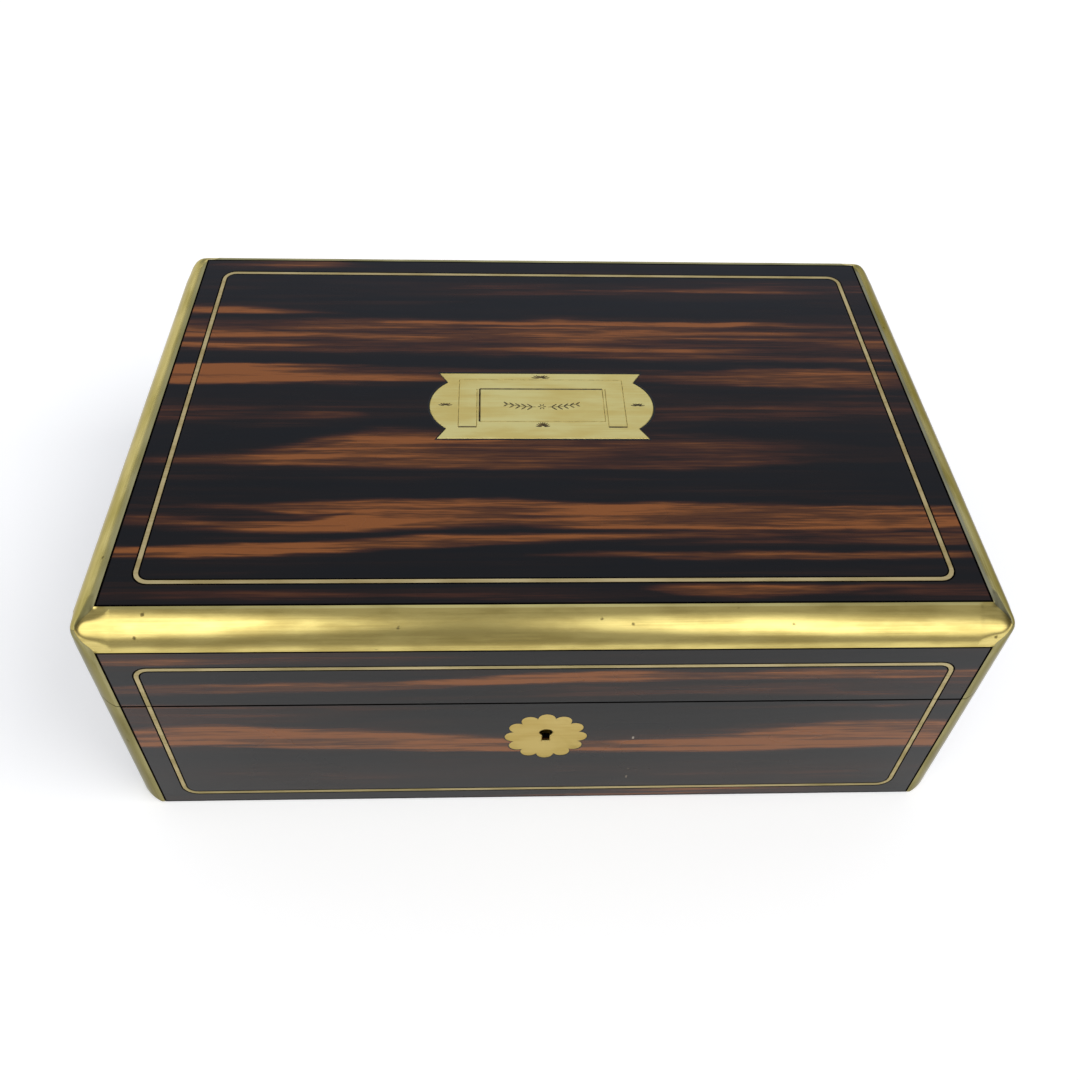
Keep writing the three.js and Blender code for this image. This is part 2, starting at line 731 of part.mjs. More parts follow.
function addMirror(lid) {
  const panelZ = railTopZ - lidLiningThickness;
  const topZ = panelZ - glueLine;
  const footZ = topZ - mirrorFrameHeight;
  const glassZ = topZ - mirrorThickness;
  const rebate = mirrorFrameSection - mirrorRebate;
  const seatZ = glassZ - glueLine;
  const inset = wallInset + glueLine;
  addMesh(lid, "lid_lining", panel(inset, inset, panelZ, railTopZ), leather);
  const frameX = halfWidth - inset - mirrorBorderX;
  const frameY = halfDepth - inset - mirrorBorderY;
  const frame = mitredFrame(frameX, frameY, [
    [0, footZ + frameBevel],
    [0, topZ],
    [rebate, topZ],
    [rebate, seatZ],
    [mirrorFrameSection, seatZ],
    [mirrorFrameSection, seatZ - frameLip],
    [mirrorFrameSection - frameSlope, footZ],
    [frameBevel, footZ],
  ]);
  addMesh(lid, "mirror_frame", frame, leather);
  const glassX = frameX - rebate - mirrorClearance;
  const glassY = frameY - rebate - mirrorClearance;
  const glass = block([-glassX, -glassY, glassZ], [glassX, glassY, topZ - glueLine]);
  addMesh(lid, "mirror_glass", glass, mirror);
}

// Base and lid

const veneerInset = edgeWidth + glueLine;
const behindBoard = -halfDepth + wallInset + cutOverrun;

function addBaseWall(base, face) {
  let board = wallBoard(face, wallFootZ, rimZ);
  let veneer = plank(face, 0, skinThickness, veneerInset, wallFootZ, rimZ);
  if (face === "front") {
    board = board.subtract(lockMortise()).subtract(keyhole(2 * keyholeEase, -halfDepth, behindBoard));
    veneer = veneer
      .subtract(frontString(glueLine))
      .subtract(escutcheon(glueLine))
      .subtract(keyhole(keyholeEase, -halfDepth, behindBoard));
  }
  if (face === "back") {
    board = withHingeRebates(board, -1);
    veneer = withHingeRebates(veneer, -1);
  }
  addMesh(base, `base_${face}_board`, board, mahogany);
  addMesh(base, `base_${face}_veneer`, veneer, coromandel);
}

function addBaseFloor(base) {
  const boardInset = wallInset + glueLine;
  addMesh(base, "base_bottom_board", panel(boardInset, boardInset, wallFootZ, floorZ), mahogany);
  const padZ = floorZ + glueLine;
  const padInset = wellInset + trayClearance;
  addMesh(base, "floor_pad", panel(padInset + ledgeWidth, padInset, padZ, padZ + floorPadThickness), velvet);
  const x = halfWidth - baizeInset;
  const y = halfDepth - baizeInset;
  const outline = addRoundedRectangle(new THREE.Shape(), -x, -y, x, y, edgeWidth - baizeInset);
  addMesh(base, "base_baize", planPrism(outline, 0, baizeThickness), baize);
}

function addBase(base) {
  for (const face of walls) addBaseWall(base, face);
  addBaseFloor(base);
  addLinings(base);
  addMesh(base, "base_front_stringing", keepBelow(frontString(0), rimZ), brass);
  addMesh(base, "keyhole_escutcheon", escutcheon(0).subtract(keyhole(0, -halfDepth, behindBoard)), brass);
  addMesh(base, "lock_case", lockCase(), brass);
}

function addLidWall(lid, face) {
  let board = wallBoard(face, lidZ, railTopZ);
  let veneer = plank(face, 0, skinThickness, veneerInset, lidZ, caseHeight - veneerInset);
  if (face === "front") {
    const reach = lockHalf + lockClearance;
    const recess = block(
      [-reach, lockFrontY - lockClearance, lidZ - cutOverrun],
      [reach, lockBackY + cutOverrun, lidZ + selvedgeThickness + glueLine],
    );
    board = board.subtract(recess);
    veneer = veneer.subtract(frontString(glueLine));
  }
  if (face === "back") {
    board = withHingeRebates(board, 1);
    veneer = withHingeRebates(veneer, 1);
  }
  addMesh(lid, `lid_${face}_board`, board, mahogany);
  addMesh(lid, `lid_${face}_veneer`, veneer, coromandel);
}

function addLid(lid) {
  for (const face of walls) addLidWall(lid, face);
  addMesh(lid, "lid_top_board", keepAbove(core, topBoardZ), mahogany);
  let veneer = panel(veneerInset, veneerInset, caseHeight - skinThickness, caseHeight);
  veneer = veneer.subtract(topString(glueLine)).subtract(lidPlate(glueLine));
  addMesh(lid, "lid_top_veneer", veneer, coromandel);
  addMesh(lid, "lid_top_stringing", topString(0), brass);
  addMesh(lid, "lid_front_stringing", keepAbove(frontString(0), lidZ), brass);
  addMesh(lid, "lid_plate", lidPlate(0), brass);
  addMesh(lid, "lock_link_plate", linkPlate(), brass);
  addMirror(lid);
}

function addHinges(base, lid) {
  for (const [side, x] of [["left", -hingeX], ["right", hingeX]]) {
    addMesh(base, `${side}_hinge_base_leaf`, hingeLeaf(x, -1), brass);
    addMesh(base, `${side}_hinge_pin`, hingePin(x), steel);
    addMesh(lid, `${side}_hinge_lid_leaf`, hingeLeaf(x, 1), brass);
  }
}

const base = new THREE.Group();
const lid = new THREE.Group();
const tray = new THREE.Group();
const bolt = new THREE.Group();
addBase(base);
addLid(lid);
addEdging(base, lid);
addHinges(base, lid);
addTray(tray);
addMesh(bolt, "lock_bolt", lockBolt(), brass);

const dressingCase = new THREE.Group();
dressingCase.add(base, lid, tray, bolt);
export default dressingCase;
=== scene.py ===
"""The looks of a brass-bound dressing case: coromandel veneer, moulded brass edging, inlaid lines,
an engraved plate, a box lock, a mirror in the lid and a tray that lifts out.

Metres, +Z up, with the origin in the middle of the underside. The front faces -Y.
"""

from __future__ import annotations

import logging
import math
from collections.abc import Callable, Iterable, Sequence
from dataclasses import dataclass, field
from enum import Enum

import bmesh
import bpy
from bmesh.types import BMEdge, BMesh, BMVert
from bpy.types import Material, Node, NodeOutputs, NodeSocket, NodeTree, Object
from mathutils import Euler, Matrix, Vector


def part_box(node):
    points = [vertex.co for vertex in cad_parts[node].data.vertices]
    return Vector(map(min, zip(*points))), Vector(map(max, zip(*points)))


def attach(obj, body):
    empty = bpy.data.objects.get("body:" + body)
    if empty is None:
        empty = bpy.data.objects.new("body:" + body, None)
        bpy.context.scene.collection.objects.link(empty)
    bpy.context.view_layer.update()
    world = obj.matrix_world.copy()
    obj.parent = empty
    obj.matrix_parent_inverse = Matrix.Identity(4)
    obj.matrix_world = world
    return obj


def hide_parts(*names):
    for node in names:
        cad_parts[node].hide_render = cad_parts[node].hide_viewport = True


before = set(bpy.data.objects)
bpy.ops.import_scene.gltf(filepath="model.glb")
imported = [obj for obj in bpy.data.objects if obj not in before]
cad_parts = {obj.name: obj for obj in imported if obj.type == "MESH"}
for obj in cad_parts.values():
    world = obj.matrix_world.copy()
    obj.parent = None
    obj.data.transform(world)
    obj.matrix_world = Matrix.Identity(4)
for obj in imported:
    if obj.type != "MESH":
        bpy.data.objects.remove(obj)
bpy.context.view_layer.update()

MM = 0.001
EDGE_ANGLE = math.radians(24)  # a sharper edge than this stays a crease
SHARP = math.radians(40)  # an edge that is rounded is sharper than this
FLAT_ANGLE = math.radians(0.5)  # faces that bend less than this are one
WELD = 0.001 * MM  # vertices nearer than this are one
OUTLINE_WELD = 0.01 * MM  # the same where the parts of an outline meet
FINE = 1e-7  # vertices nearer to a cutting plane than this, in metres, are on it
LEAST = 1e-6  # a shorter length than this is none
LEAST_SLOPE = 1e-4  # a ray that leans less than this lies along an axis
MASTIC_AND_SHADOW = ("#0b0a09", "#050404")  # its two shades, for black mastic and for painted shadow
MASTIC_PROUD = 0.015 * MM  # how far it stands above a face
MASTIC_DEPTH = 0.3 * MM
log = logging.getLogger("dressing_case")

Points = tuple[tuple[float, float], ...]
Span = tuple[float, float]
Value = NodeSocket | float

EASE = {"interpolation_type": "SMOOTHSTEP"}  # settings of a Map Range node
COLOURS = {"data_type": "RGBA"}  # settings of a Mix node


class Lay(Enum):
    """How a pattern lies on a piece, as the turn in degrees that brings its length to X."""

    FLAT = (0, 0, 0)  # along X and across Y
    FLAT_CROSS = (0, 0, -90)  # along Y and across X
    FACING = (-90, 0, 0)  # along X and across Z
    SIDE = (-90, -90, 0)  # along Y and across Z
    UPRIGHT = (0, 90, 0)  # along Z and across Y


class Cut(Enum):
    """What a tool does to the piece that it is put to."""

    TAKE_AWAY = "DIFFERENCE"
    JOIN = "UNION"


# Shader helpers


def linear(code: str) -> tuple[float, float, float, float]:
    """Turns an sRGB hex code to the linear colour that a shader takes."""
    values = [int(code[i : i + 2], 16) / 255 for i in (1, 3, 5)]
    return (*(v / 12.92 if v <= 0.04045 else ((v + 0.055) / 1.055) ** 2.4 for v in values), 1.0)


def feed(node: Node, inputs: dict | Sequence) -> None:
    """Gives a node's inputs their values and links.

    Args:
        node: the node.
        inputs: a number, a hex colour or an output socket for each input, by name or in order.
    """
    for key, value in inputs.items() if isinstance(inputs, dict) else enumerate(inputs):
        if isinstance(value, NodeSocket):
            node.id_data.links.new(value, node.inputs[key])
        else:
            node.inputs[key].default_value = linear(value) if isinstance(value, str) else value


def add(
    tree: NodeTree,
    kind: str,
    inputs: dict | Sequence = (),
    stops: Sequence[tuple[float, str]] = (),
    points: Points = (),
    **settings: object,
) -> NodeOutputs:
    """Adds a shader node with its settings and links.

    Args:
        tree: the node tree.
        kind: the node's type without its ShaderNode prefix.
        inputs: a number, a hex colour or an output socket for each input, by name or in order.
        stops: position and hex colour of each stop, for a colour ramp.
        points: place and height of each point, from 0 to 1, for a curve.
        settings: properties of the node.

    Returns:
        The new node's outputs.
    """
    made = tree.nodes.new(f"ShaderNode{kind}")
    for name, value in settings.items():
        setattr(made, name, value)
    feed(made, inputs)
    if stops:
        elements = made.color_ramp.elements
        while len(elements) < len(stops):
            elements.new(1.0)
        for element, (position, code) in zip(elements, stops, strict=True):
            element.position = position
            element.color = linear(code)
    if points:
        made.mapping.extend = "HORIZONTAL"
        curve = made.mapping.curves[0].points
        while len(curve) < len(points):
            curve.new(0.5, 0.5)
        for point, place in zip(curve, points, strict=True):
            point.location = place
        made.mapping.update()
    return made.outputs


def blank(name: str, lay: Lay) -> tuple[Material, NodeTree, NodeSocket]:
    """Starts a material.

    Args:
        name: the material's name.
        lay: how its pattern lies.

    Returns:
        The material, its node tree and a place on the piece in millimetres, with X along the pattern.
    """
    material = bpy.data.materials.new(name)
    material.use_nodes = True
    tree = material.node_tree
    turned = [math.radians(angle) for angle in lay.value]
    mapping = {"Vector": add(tree, "TexCoord")["Object"], "Scale": (1 / MM,) * 3, "Rotation": turned}
    return material, tree, add(tree, "Mapping", mapping)[0]


def coat(
    material: Material, inputs: dict, height: NodeSocket | None = None, depth: float = 0.0
) -> Material:
    """Finishes a material.

    Args:
        material: the material.
        inputs: a number, a hex colour or a socket for each named input of its surface.
        height: the height of its fine relief, from 0 to 1.
        depth: what a height of 1 is, in metres.

    Returns:
        The same material.
    """
    if height:
        relief = {"Height": height, "Distance": depth, "Strength": 1.0}
        inputs = {**inputs, "Normal": add(material.node_tree, "Bump", relief)[0]}
    feed(material.node_tree.nodes["Principled BSDF"], inputs)
    return material


def clouds(
    tree: NodeTree,
    place: NodeSocket,
    size: tuple[float, float, float],
    detail: float = 2.0,
    seed: float = 0.0,
    span: Span | None = None,
    target: Span = (0.0, 1.0),
) -> NodeSocket:
    """Makes cloudy variation whose clouds have a real size.

    Args:
        tree: the node tree.
        place: a place in millimetres.
        size: how far a cloud reaches each way, in millimetres.
        detail: how many finer layers it has.
        seed: another value gives other clouds.
        span: the values between which it is eased to the target, if it is.
        target: what the span becomes.

    Returns:
        The socket with a value about 0.5, or with the eased one.
    """
    inputs = {"Vector": place, "Scale": [1 / s for s in size], "Location": (seed, seed, seed)}
    scaled = add(tree, "Mapping", inputs)[0]
    cloud = add(tree, "TexNoise", {"Vector": scaled, "Scale": 1.0, "Detail": detail})["Fac"]
    return add(tree, "MapRange", (cloud, *span, *target), **EASE)[0] if span else cloud


def scatter(tree: NodeTree, cells: NodeOutputs, near: NodeSocket, bare: float) -> NodeSocket:
    """Keeps a spot in some of the cells, and leaves about the share `bare` of them without one.

    Args:
        tree: the node tree.
        cells: the outputs of a cell pattern.
        near: how near a cell's middle is.
        bare: the share of the cells that stay without a spot.

    Returns:
        The socket with the spots.
    """
    chance = add(tree, "SeparateXYZ", (cells["Color"],))[0]
    kept = add(tree, "Math", (chance, bare), operation="GREATER_THAN")[0]
    return add(tree, "Math", (near, kept), operation="MULTIPLY")[0]


# Finishes


@dataclass(frozen=True)
class Figure:
    """A brown figure that runs along the grain of the veneer.

    Both edges are points along and across the face, in millimetres. Where the upper edge dips
    under the lower one there is no figure, which gives it pointed ends.
    """

    lower: Points
    upper: Points
    depth: Points  # places along the face, where 0 is the black heartwood and 1 the palest brown
    blur: Span = (1.8, 1.8)  # how far the lower and the upper edge fade, in millimetres
    dark: bool = False  # a black figure that covers the brown ones

    def mask(self, tree: NodeTree, along: NodeSocket, across: NodeSocket, reach: Span) -> NodeSocket:
        """Draws the figure.

        Args:
            tree: the node tree.
            along: the place along the face, as a share of its reach.
            across: the place across the face, as a share of its reach.
            reach: half the length and half the breadth that 0 to 1 stands for, in millimetres.

        Returns:
            The socket with the figure's depth.
        """
        length, breadth = (2 * half for half in reach)
        edges = (self.lower, self.upper)
        curves = [tuple((0.5 + x / length, 0.5 + y / breadth) for x, y in edge) for edge in edges]
        curves.append(tuple((0.5 + x / length, depth) for x, depth in self.depth))
        lower, upper, depth = (add(tree, "FloatCurve", {"Value": along}, points=c)[0] for c in curves)
        sides = []
        for high, low, blur in ((across, lower, self.blur[0]), (upper, across, self.blur[1])):
            gap = add(tree, "Math", (high, low), operation="SUBTRACT")[0]
            sides.append(add(tree, "MapRange", (gap, -blur / breadth, blur / breadth), **EASE)[0])
        inside = add(tree, "Math", sides, operation="MULTIPLY")[0]
        return add(tree, "Math", (inside, depth), operation="MULTIPLY")[0]


@dataclass(frozen=True)
class Mark:
    """The black mastic along inlaid brass with painted shadow in it, painted shadow along the saw cut, a
    near-black patch, or a pale nick: a line or a spot of another colour.

    It follows a rounded rectangle, with all sizes in millimetres on the face.
    """

    centre: tuple[float, float]
    half: tuple[float, float]
    corner: float
    reach: float  # from the rectangle's line to where the mark ends
    colour: str = MASTIC_AND_SHADOW[1]
    fade: float = 0.3  # how far inside that end it starts to fade

    def mask(self, tree: NodeTree, places: Sequence[NodeSocket]) -> NodeSocket:
        """Tells where the mark is.

        Args:
            tree: the node tree.
            places: the places along and across the face, in millimetres.

        Returns:
            The socket, 1 on the mark and 0 off it.
        """
        past, squares = [], []
        for place, middle, half in zip(places, self.centre, self.half, strict=True):
            offset = add(tree, "Math", (place, middle), operation="SUBTRACT")[0]
            away = add(tree, "Math", (offset,), operation="ABSOLUTE")[0]
            past.append(add(tree, "Math", (away, half - self.corner), operation="SUBTRACT")[0])
            outer = add(tree, "Math", (past[-1], 0.0), operation="MAXIMUM")[0]
            squares.append(add(tree, "Math", (outer, outer), operation="MULTIPLY")[0])
        total = add(tree, "Math", squares, operation="ADD")[0]
        outside = add(tree, "Math", (total,), operation="SQRT")[0]
        nearest = add(tree, "Math", past, operation="MAXIMUM")[0]
        inside = add(tree, "Math", (nearest, 0.0), operation="MINIMUM")[0]
        signed = add(tree, "Math", (outside, inside), operation="ADD")[0]
        signed = add(tree, "Math", (signed, self.corner), operation="SUBTRACT")[0]
        off = add(tree, "Math", (signed,), operation="ABSOLUTE")[0]
        return add(tree, "MapRange", (off, self.reach - self.fade, self.reach, 1.0, 0.0), **EASE)[0]


@dataclass(frozen=True)
class Coromandel:
    """French polished coromandel: black heartwood with hazel figures, under a thin shellac gloss.

    The figures wander a little along the grain. Soft darker and paler streaks run through them.
    """

    name: str
    lay: Lay
    figures: tuple[Figure, ...]
    seed: float = 0.0
    marks: tuple[Mark, ...] = ()
    reach: Span = (170.0, 120.0)
    wander: float = 2.4  # how far the figures stray, in millimetres
    merging: float = 0.08  # how softly two figures run into each other
    streak_width: float = 3.0  # of the streaks inside a figure, in millimetres
    fibre_width: float = 0.8  # coarser than real fibre, so that it shows
    gloss: float = 0.26  # an old polish shines less than new shellac
    haze: Span = (0.18, 0.3)  # roughness, which handling has made uneven
    nick: str = "#8f8577"
    scale: Sequence[tuple[float, str]] = (
        (0.0, "#090c0e"),
        (0.2, "#110e0d"),
        (0.4, "#20140f"),
        (0.58, "#391f14"),
        (0.78, "#553219"),
        (1.0, "#824d25"),
    )

    def _depth(self, tree: NodeTree, place: NodeSocket, split: NodeOutputs) -> Value:
        """Lays all the figures over each other.

        Args:
            tree: the node tree.
            place: the place in millimetres.
            split: its parts along and across the face.

        Returns:
            The socket with the depth, from 0 for black to 1 for hazel.
        """
        strayed = split[1]
        slow = clouds(tree, place, (60, 16, 16), 1.0, self.seed)
        quick = clouds(tree, place, (18, 2.5, 2.5), 2.0, self.seed + 7)
        for cloud, sway in ((slow, 2 * self.wander), (quick, self.wander)):
            level = add(tree, "Math", (cloud, 0.5), operation="SUBTRACT")[0]
            stray = add(tree, "Math", (level, sway), operation="MULTIPLY")[0]
            strayed = add(tree, "Math", (strayed, stray), operation="ADD")[0]
        length, breadth = self.reach
        along = add(tree, "MapRange", (split[0], -length, length))[0]
        across = add(tree, "MapRange", (strayed, -breadth, breadth))[0]
        depth: Value = 0.0
        for figure in sorted(self.figures, key=lambda f: f.dark):
            mask = figure.mask(tree, along, across, self.reach)
            if figure.dark:
                rest = add(tree, "Math", (1.0, mask), operation="SUBTRACT")[0]
                depth = add(tree, "Math", (depth, rest), operation="MULTIPLY")[0]
            else:
                depth = add(tree, "Math", (depth, mask, self.merging), operation="SMOOTH_MAX")[0]
        return depth

    def _tone(self, tree: NodeTree, place: NodeSocket, depth: Value) -> NodeSocket:
        """Draws the streaks and fibres through the figures and over the black ground.

        Args:
            tree: the node tree.
            place: the place in millimetres.
            depth: the depth of the figures.

        Returns:
            The socket with the tone, from 0 to 1.
        """
        width, fibre = self.streak_width, self.fibre_width
        layers, shade = [], depth
        for size, detail, seed, span, tint in (
            ((110, width, width), 3.0, 3, (0.28, 0.72), (0.82, 1.12)),
            ((80, 11, 11), 2.0, 5, (0.32, 0.7), (0.9, 1.08)),
            ((14, fibre, fibre), 2.0, 11, (0.2, 0.8), (0.88, 1.06)),
        ):
            layers.append(clouds(tree, place, size, detail, self.seed + seed, span))
            tinted = add(tree, "MapRange", (layers[-1], 0.0, 1.0, *tint), **EASE)[0]
            shade = add(tree, "Math", (shade, tinted), operation="MULTIPLY")[0]
        streaks, broad, fibres = layers
        ground = add(tree, "Math", (streaks, broad), operation="MULTIPLY")[0]
        ground = add(tree, "Math", (ground, 0.34), operation="MULTIPLY")[0]
        lift = add(tree, "MapRange", (fibres, 0.0, 1.0, 0.0, 0.05), **EASE)[0]
        ground = add(tree, "Math", (ground, lift), operation="ADD")[0]
        return add(tree, "Math", (shade, ground), operation="ADD")[0]

    def material(self) -> Material:
        """Makes the material."""
        material, tree, place = blank(self.name, self.lay)
        split = add(tree, "SeparateXYZ", (place,))
        tone = self._tone(tree, place, self._depth(tree, place, split))
        colour = add(tree, "ValToRGB", (tone,), stops=self.scale)[0]
        cells = add(tree, "TexVoronoi", {"Vector": place, "Scale": 0.03})  # nicks of about 0.4 mm
        near = add(tree, "MapRange", (cells["Distance"], 0.006, 0.012, 1.0, 0.0), **EASE)[0]
        nicked = scatter(tree, cells, near, 0.6)
        colour = add(tree, "Mix", {0: nicked, 6: colour, 7: self.nick}, **COLOURS)[2]
        shine: Value = self.gloss
        # Each mark sets its colour and takes the shine away: mastic with painted shadow, painted shadow
        # along the saw cut, or a nick.
        for mark in self.marks:
            mask = mark.mask(tree, split[:2])
            colour = add(tree, "Mix", {0: mask, 6: colour, 7: mark.colour}, **COLOURS)[2]
            rest = add(tree, "Math", (1.0, mask), operation="SUBTRACT")[0]
            shine = add(tree, "Math", (shine, rest), operation="MULTIPLY")[0]
        rough = clouds(tree, place, (40, 25, 25), 3.0, self.seed, (0.3, 0.7), self.haze)
        ripple = clouds(tree, place, (30, 6, 6), 3.0, self.seed)
        inputs = {"Base Color": colour, "Specular IOR Level": shine, "Roughness": rough}
        return coat(material, inputs, ripple, 0.05 * MM)


@dataclass(frozen=True)
class AgedBrass:
    """Rolled and planished brass, long handled: warm yellow, with olive tarnish and dark pits.

    It isn't quite even, so highlights swim a little, and its polish draws them out along the strip.
    """

    name: str
    lay: Lay = Lay.FLAT
    bright: str = "#dfcc80"
    dull: str = "#bca964"
    tarnish: str = "#4f4220"
    slant: str = "#d8d0b4"  # tint at a slant, where tarnish keeps it from going white
    roughness: Span = (0.12, 0.21)
    line_width: float = 0.9  # of the polishing lines, in millimetres
    pitted: bool = True
    seed: float = 0.0

    def material(self) -> Material:
        """Makes the material."""
        material, tree, place = blank(self.name, self.lay)
        width = self.line_width
        lines = clouds(tree, place, (40, width, width), 2.0, self.seed)
        cloudy = clouds(tree, place, (26, 8, 8), 4.0, self.seed + 4)
        shares = ((lines, 0.25), (cloudy, 0.75))
        parts = [add(tree, "Math", share, operation="MULTIPLY")[0] for share in shares]
        wear = add(tree, "Math", parts, operation="ADD")[0]
        dulled = add(tree, "MapRange", (wear, 0.38, 0.66), **EASE)[0]
        colour = add(tree, "Mix", {0: dulled, 6: self.bright, 7: self.dull}, **COLOURS)[2]
        if self.pitted:
            pits = self._pits(tree, place)
            colour = add(tree, "Mix", {0: pits, 6: colour, 7: self.tarnish}, **COLOURS)[2]
        rough = add(tree, "MapRange", (wear, 0.3, 0.7, *self.roughness), **EASE)[0]
        ridges = add(tree, "Math", (lines, 0.06), operation="MULTIPLY")[0]
        height = add(tree, "Math", (ridges, cloudy), operation="ADD")[0]
        inputs = {"Base Color": colour, "Metallic": 1.0, "Specular Tint": self.slant, "Roughness": rough}
        return coat(material, inputs, height, 0.05 * MM)

    def _pits(self, tree: NodeTree, place: NodeSocket) -> NodeSocket:
        """Scatters pits, up to about 1.5 mm across, where the brass has gone dark.

        Args:
            tree: the node tree.
            place: the place in millimetres.

        Returns:
            The socket with how dark it is.
        """
        cells = add(tree, "TexVoronoi", {"Vector": place, "Scale": 0.1})
        ragged = clouds(tree, place, (1.4, 0.7, 0.7), 2.0, self.seed)
        stray = add(tree, "Math", (ragged, 0.1), operation="MULTIPLY")[0]
        reach = add(tree, "Math", (cells["Distance"], stray), operation="ADD")[0]
        near = add(tree, "MapRange", (reach, 0.08, 0.15, 0.85, 0.0), **EASE)[0]
        return scatter(tree, cells, near, 0.45)


@dataclass(frozen=True)
class Mahogany:
    """Straight-grained mahogany, waxed: red brown, with short dark pores and a low sheen."""

    name: str
    lay: Lay
    pale: str = "#7d4527"
    deep: str = "#4c2414"
    pore: str = "#2b130b"
    seed: float = 0.0
    marks: tuple[Mark, ...] = ()  # near-black patches painted on it

    def material(self) -> Material:
        """Makes the material."""
        material, tree, place = blank(self.name, self.lay)
        split = add(tree, "SeparateXYZ", (place,))
        stripes = clouds(tree, place, (120, 3.5, 3.5), 4.0, self.seed)
        pores = clouds(tree, place, (5, 0.5, 0.5), 1.0, self.seed + 2, (0.56, 0.68))
        deeper = add(tree, "MapRange", (stripes, 0.33, 0.67), **EASE)[0]
        colour = add(tree, "Mix", {0: deeper, 6: self.pale, 7: self.deep}, **COLOURS)[2]
        faint = add(tree, "Math", (pores, 0.6), operation="MULTIPLY")[0]
        colour = add(tree, "Mix", {0: faint, 6: colour, 7: self.pore}, **COLOURS)[2]
        for mark in self.marks:
            mask = mark.mask(tree, split[:2])
            colour = add(tree, "Mix", {0: mask, 6: colour, 7: mark.colour}, **COLOURS)[2]
        rough = add(tree, "MapRange", (stripes, 0.3, 0.7, 0.36, 0.5), **EASE)[0]
        height = add(tree, "Math", (1.0, pores), operation="SUBTRACT")[0]
        return coat(material, {"Base Color": colour, "Roughness": rough}, height, 0.03 * MM)


@dataclass(frozen=True)
class DrawnSteel:
    """Drawn steel wire, gone grey: fine lines along the draw and a broad soft highlight."""

    name: str
    lay: Lay = Lay.FLAT
    pale: str = "#8c8a86"
    deep: str = "#6a6763"

    def material(self) -> Material:
        """Makes the material."""
        material, tree, place = blank(self.name, self.lay)
        lines = clouds(tree, place, (20, 0.3, 0.3))
        colour = add(tree, "Mix", {0: lines, 6: self.pale, 7: self.deep}, **COLOURS)[2]
        rough = add(tree, "MapRange", (lines, 0.3, 0.7, 0.3, 0.45), **EASE)[0]
        return coat(material, {"Base Color": colour, "Metallic": 1.0, "Roughness": rough})


@dataclass(frozen=True)
class Velvet:
    """Silk velvet: a short cut pile that looks dark face on, pale at a slant, and marks easily."""

    name: str
    pale: str = "#601425"
    deep: str = "#450c1b"
    between: str = "#1c0309"  # painted shade down between the tufts
    sheen: str = "#d98a98"
    pile: float = 0.6  # between tufts, coarser than the real pile so that it shows, in millimetres

    def material(self) -> Material:
        """Makes the material."""
        material, tree, place = blank(self.name, Lay.FLAT)
        brushed = clouds(tree, place, (38, 26, 26), span=(0.32, 0.68))
        tufts = clouds(tree, place, (self.pile,) * 3, 1.0)
        gap_shade = add(tree, "MapRange", (tufts, 0.35, 0.7, 0.0, 0.35), **EASE)[0]
        colour = add(tree, "Mix", {0: brushed, 6: self.deep, 7: self.pale}, **COLOURS)[2]
        colour = add(tree, "Mix", {0: gap_shade, 6: colour, 7: self.between}, **COLOURS)[2]
        sheen = {"Sheen Weight": 0.7, "Sheen Roughness": 0.35, "Sheen Tint": self.sheen}
        return coat(material, {"Base Color": colour, "Roughness": 0.95, **sheen}, tufts, 0.12 * MM)


@dataclass(frozen=True)
class Baize:
    """Woollen baize: a felted weave without shine, slightly patchy from standing on a table."""

    name: str
    colour: str = "#234a30"
    worn: str = "#31583b"
    between: str = "#142c1c"  # painted shade down between the fibres

    def material(self) -> Material:
        """Makes the material."""
        material, tree, place = blank(self.name, Lay.FLAT)
        patches = clouds(tree, place, (45, 45, 45), 4.0, span=(0.38, 0.66))
        felt = clouds(tree, place, (0.8, 0.8, 0.8), 3.0)
        gap_shade = add(tree, "MapRange", (felt, 0.4, 0.75, 0.0, 0.5), **EASE)[0]
        colour = add(tree, "Mix", {0: patches, 6: self.colour, 7: self.worn}, **COLOURS)[2]
        colour = add(tree, "Mix", {0: gap_shade, 6: colour, 7: self.between}, **COLOURS)[2]
        inputs = {"Base Color": colour, "Roughness": 1.0, "Sheen Weight": 0.25}
        return coat(material, inputs, felt, 0.15 * MM)


@dataclass(frozen=True)
class Leather:
    """Skiver leather, dyed and glazed: a close pebble grain with a low wax shine."""

    name: str
    colour: str = "#1c3b2a"
    deep: str = "#0d2117"
    pebble: float = 1.1  # across a pebble of the grain, in millimetres

    def material(self) -> Material:
        """Makes the material."""
        material, tree, place = blank(self.name, Lay.FLAT)
        pebbles = add(tree, "TexVoronoi", {"Vector": place, "Scale": 1 / self.pebble})["Distance"]
        cloudy = clouds(tree, place, (30, 22, 22), 3.0, span=(0.35, 0.65))
        # The grain's grooves are painted the deep colour: painted shade.
        groove_shade = add(tree, "MapRange", (pebbles, 0.35, 0.8, 0.0, 0.6), **EASE)[0]
        colour = add(tree, "Mix", {0: cloudy, 6: self.colour, 7: self.deep}, **COLOURS)[2]
        colour = add(tree, "Mix", {0: groove_shade, 6: colour, 7: self.deep}, **COLOURS)[2]
        rough = add(tree, "MapRange", (pebbles, 0.1, 0.7, 0.4, 0.62), **EASE)[0]
        height = add(tree, "Math", (1.0, pebbles), operation="SUBTRACT")[0]
        return coat(material, {"Base Color": colour, "Roughness": rough}, height, 0.05 * MM)


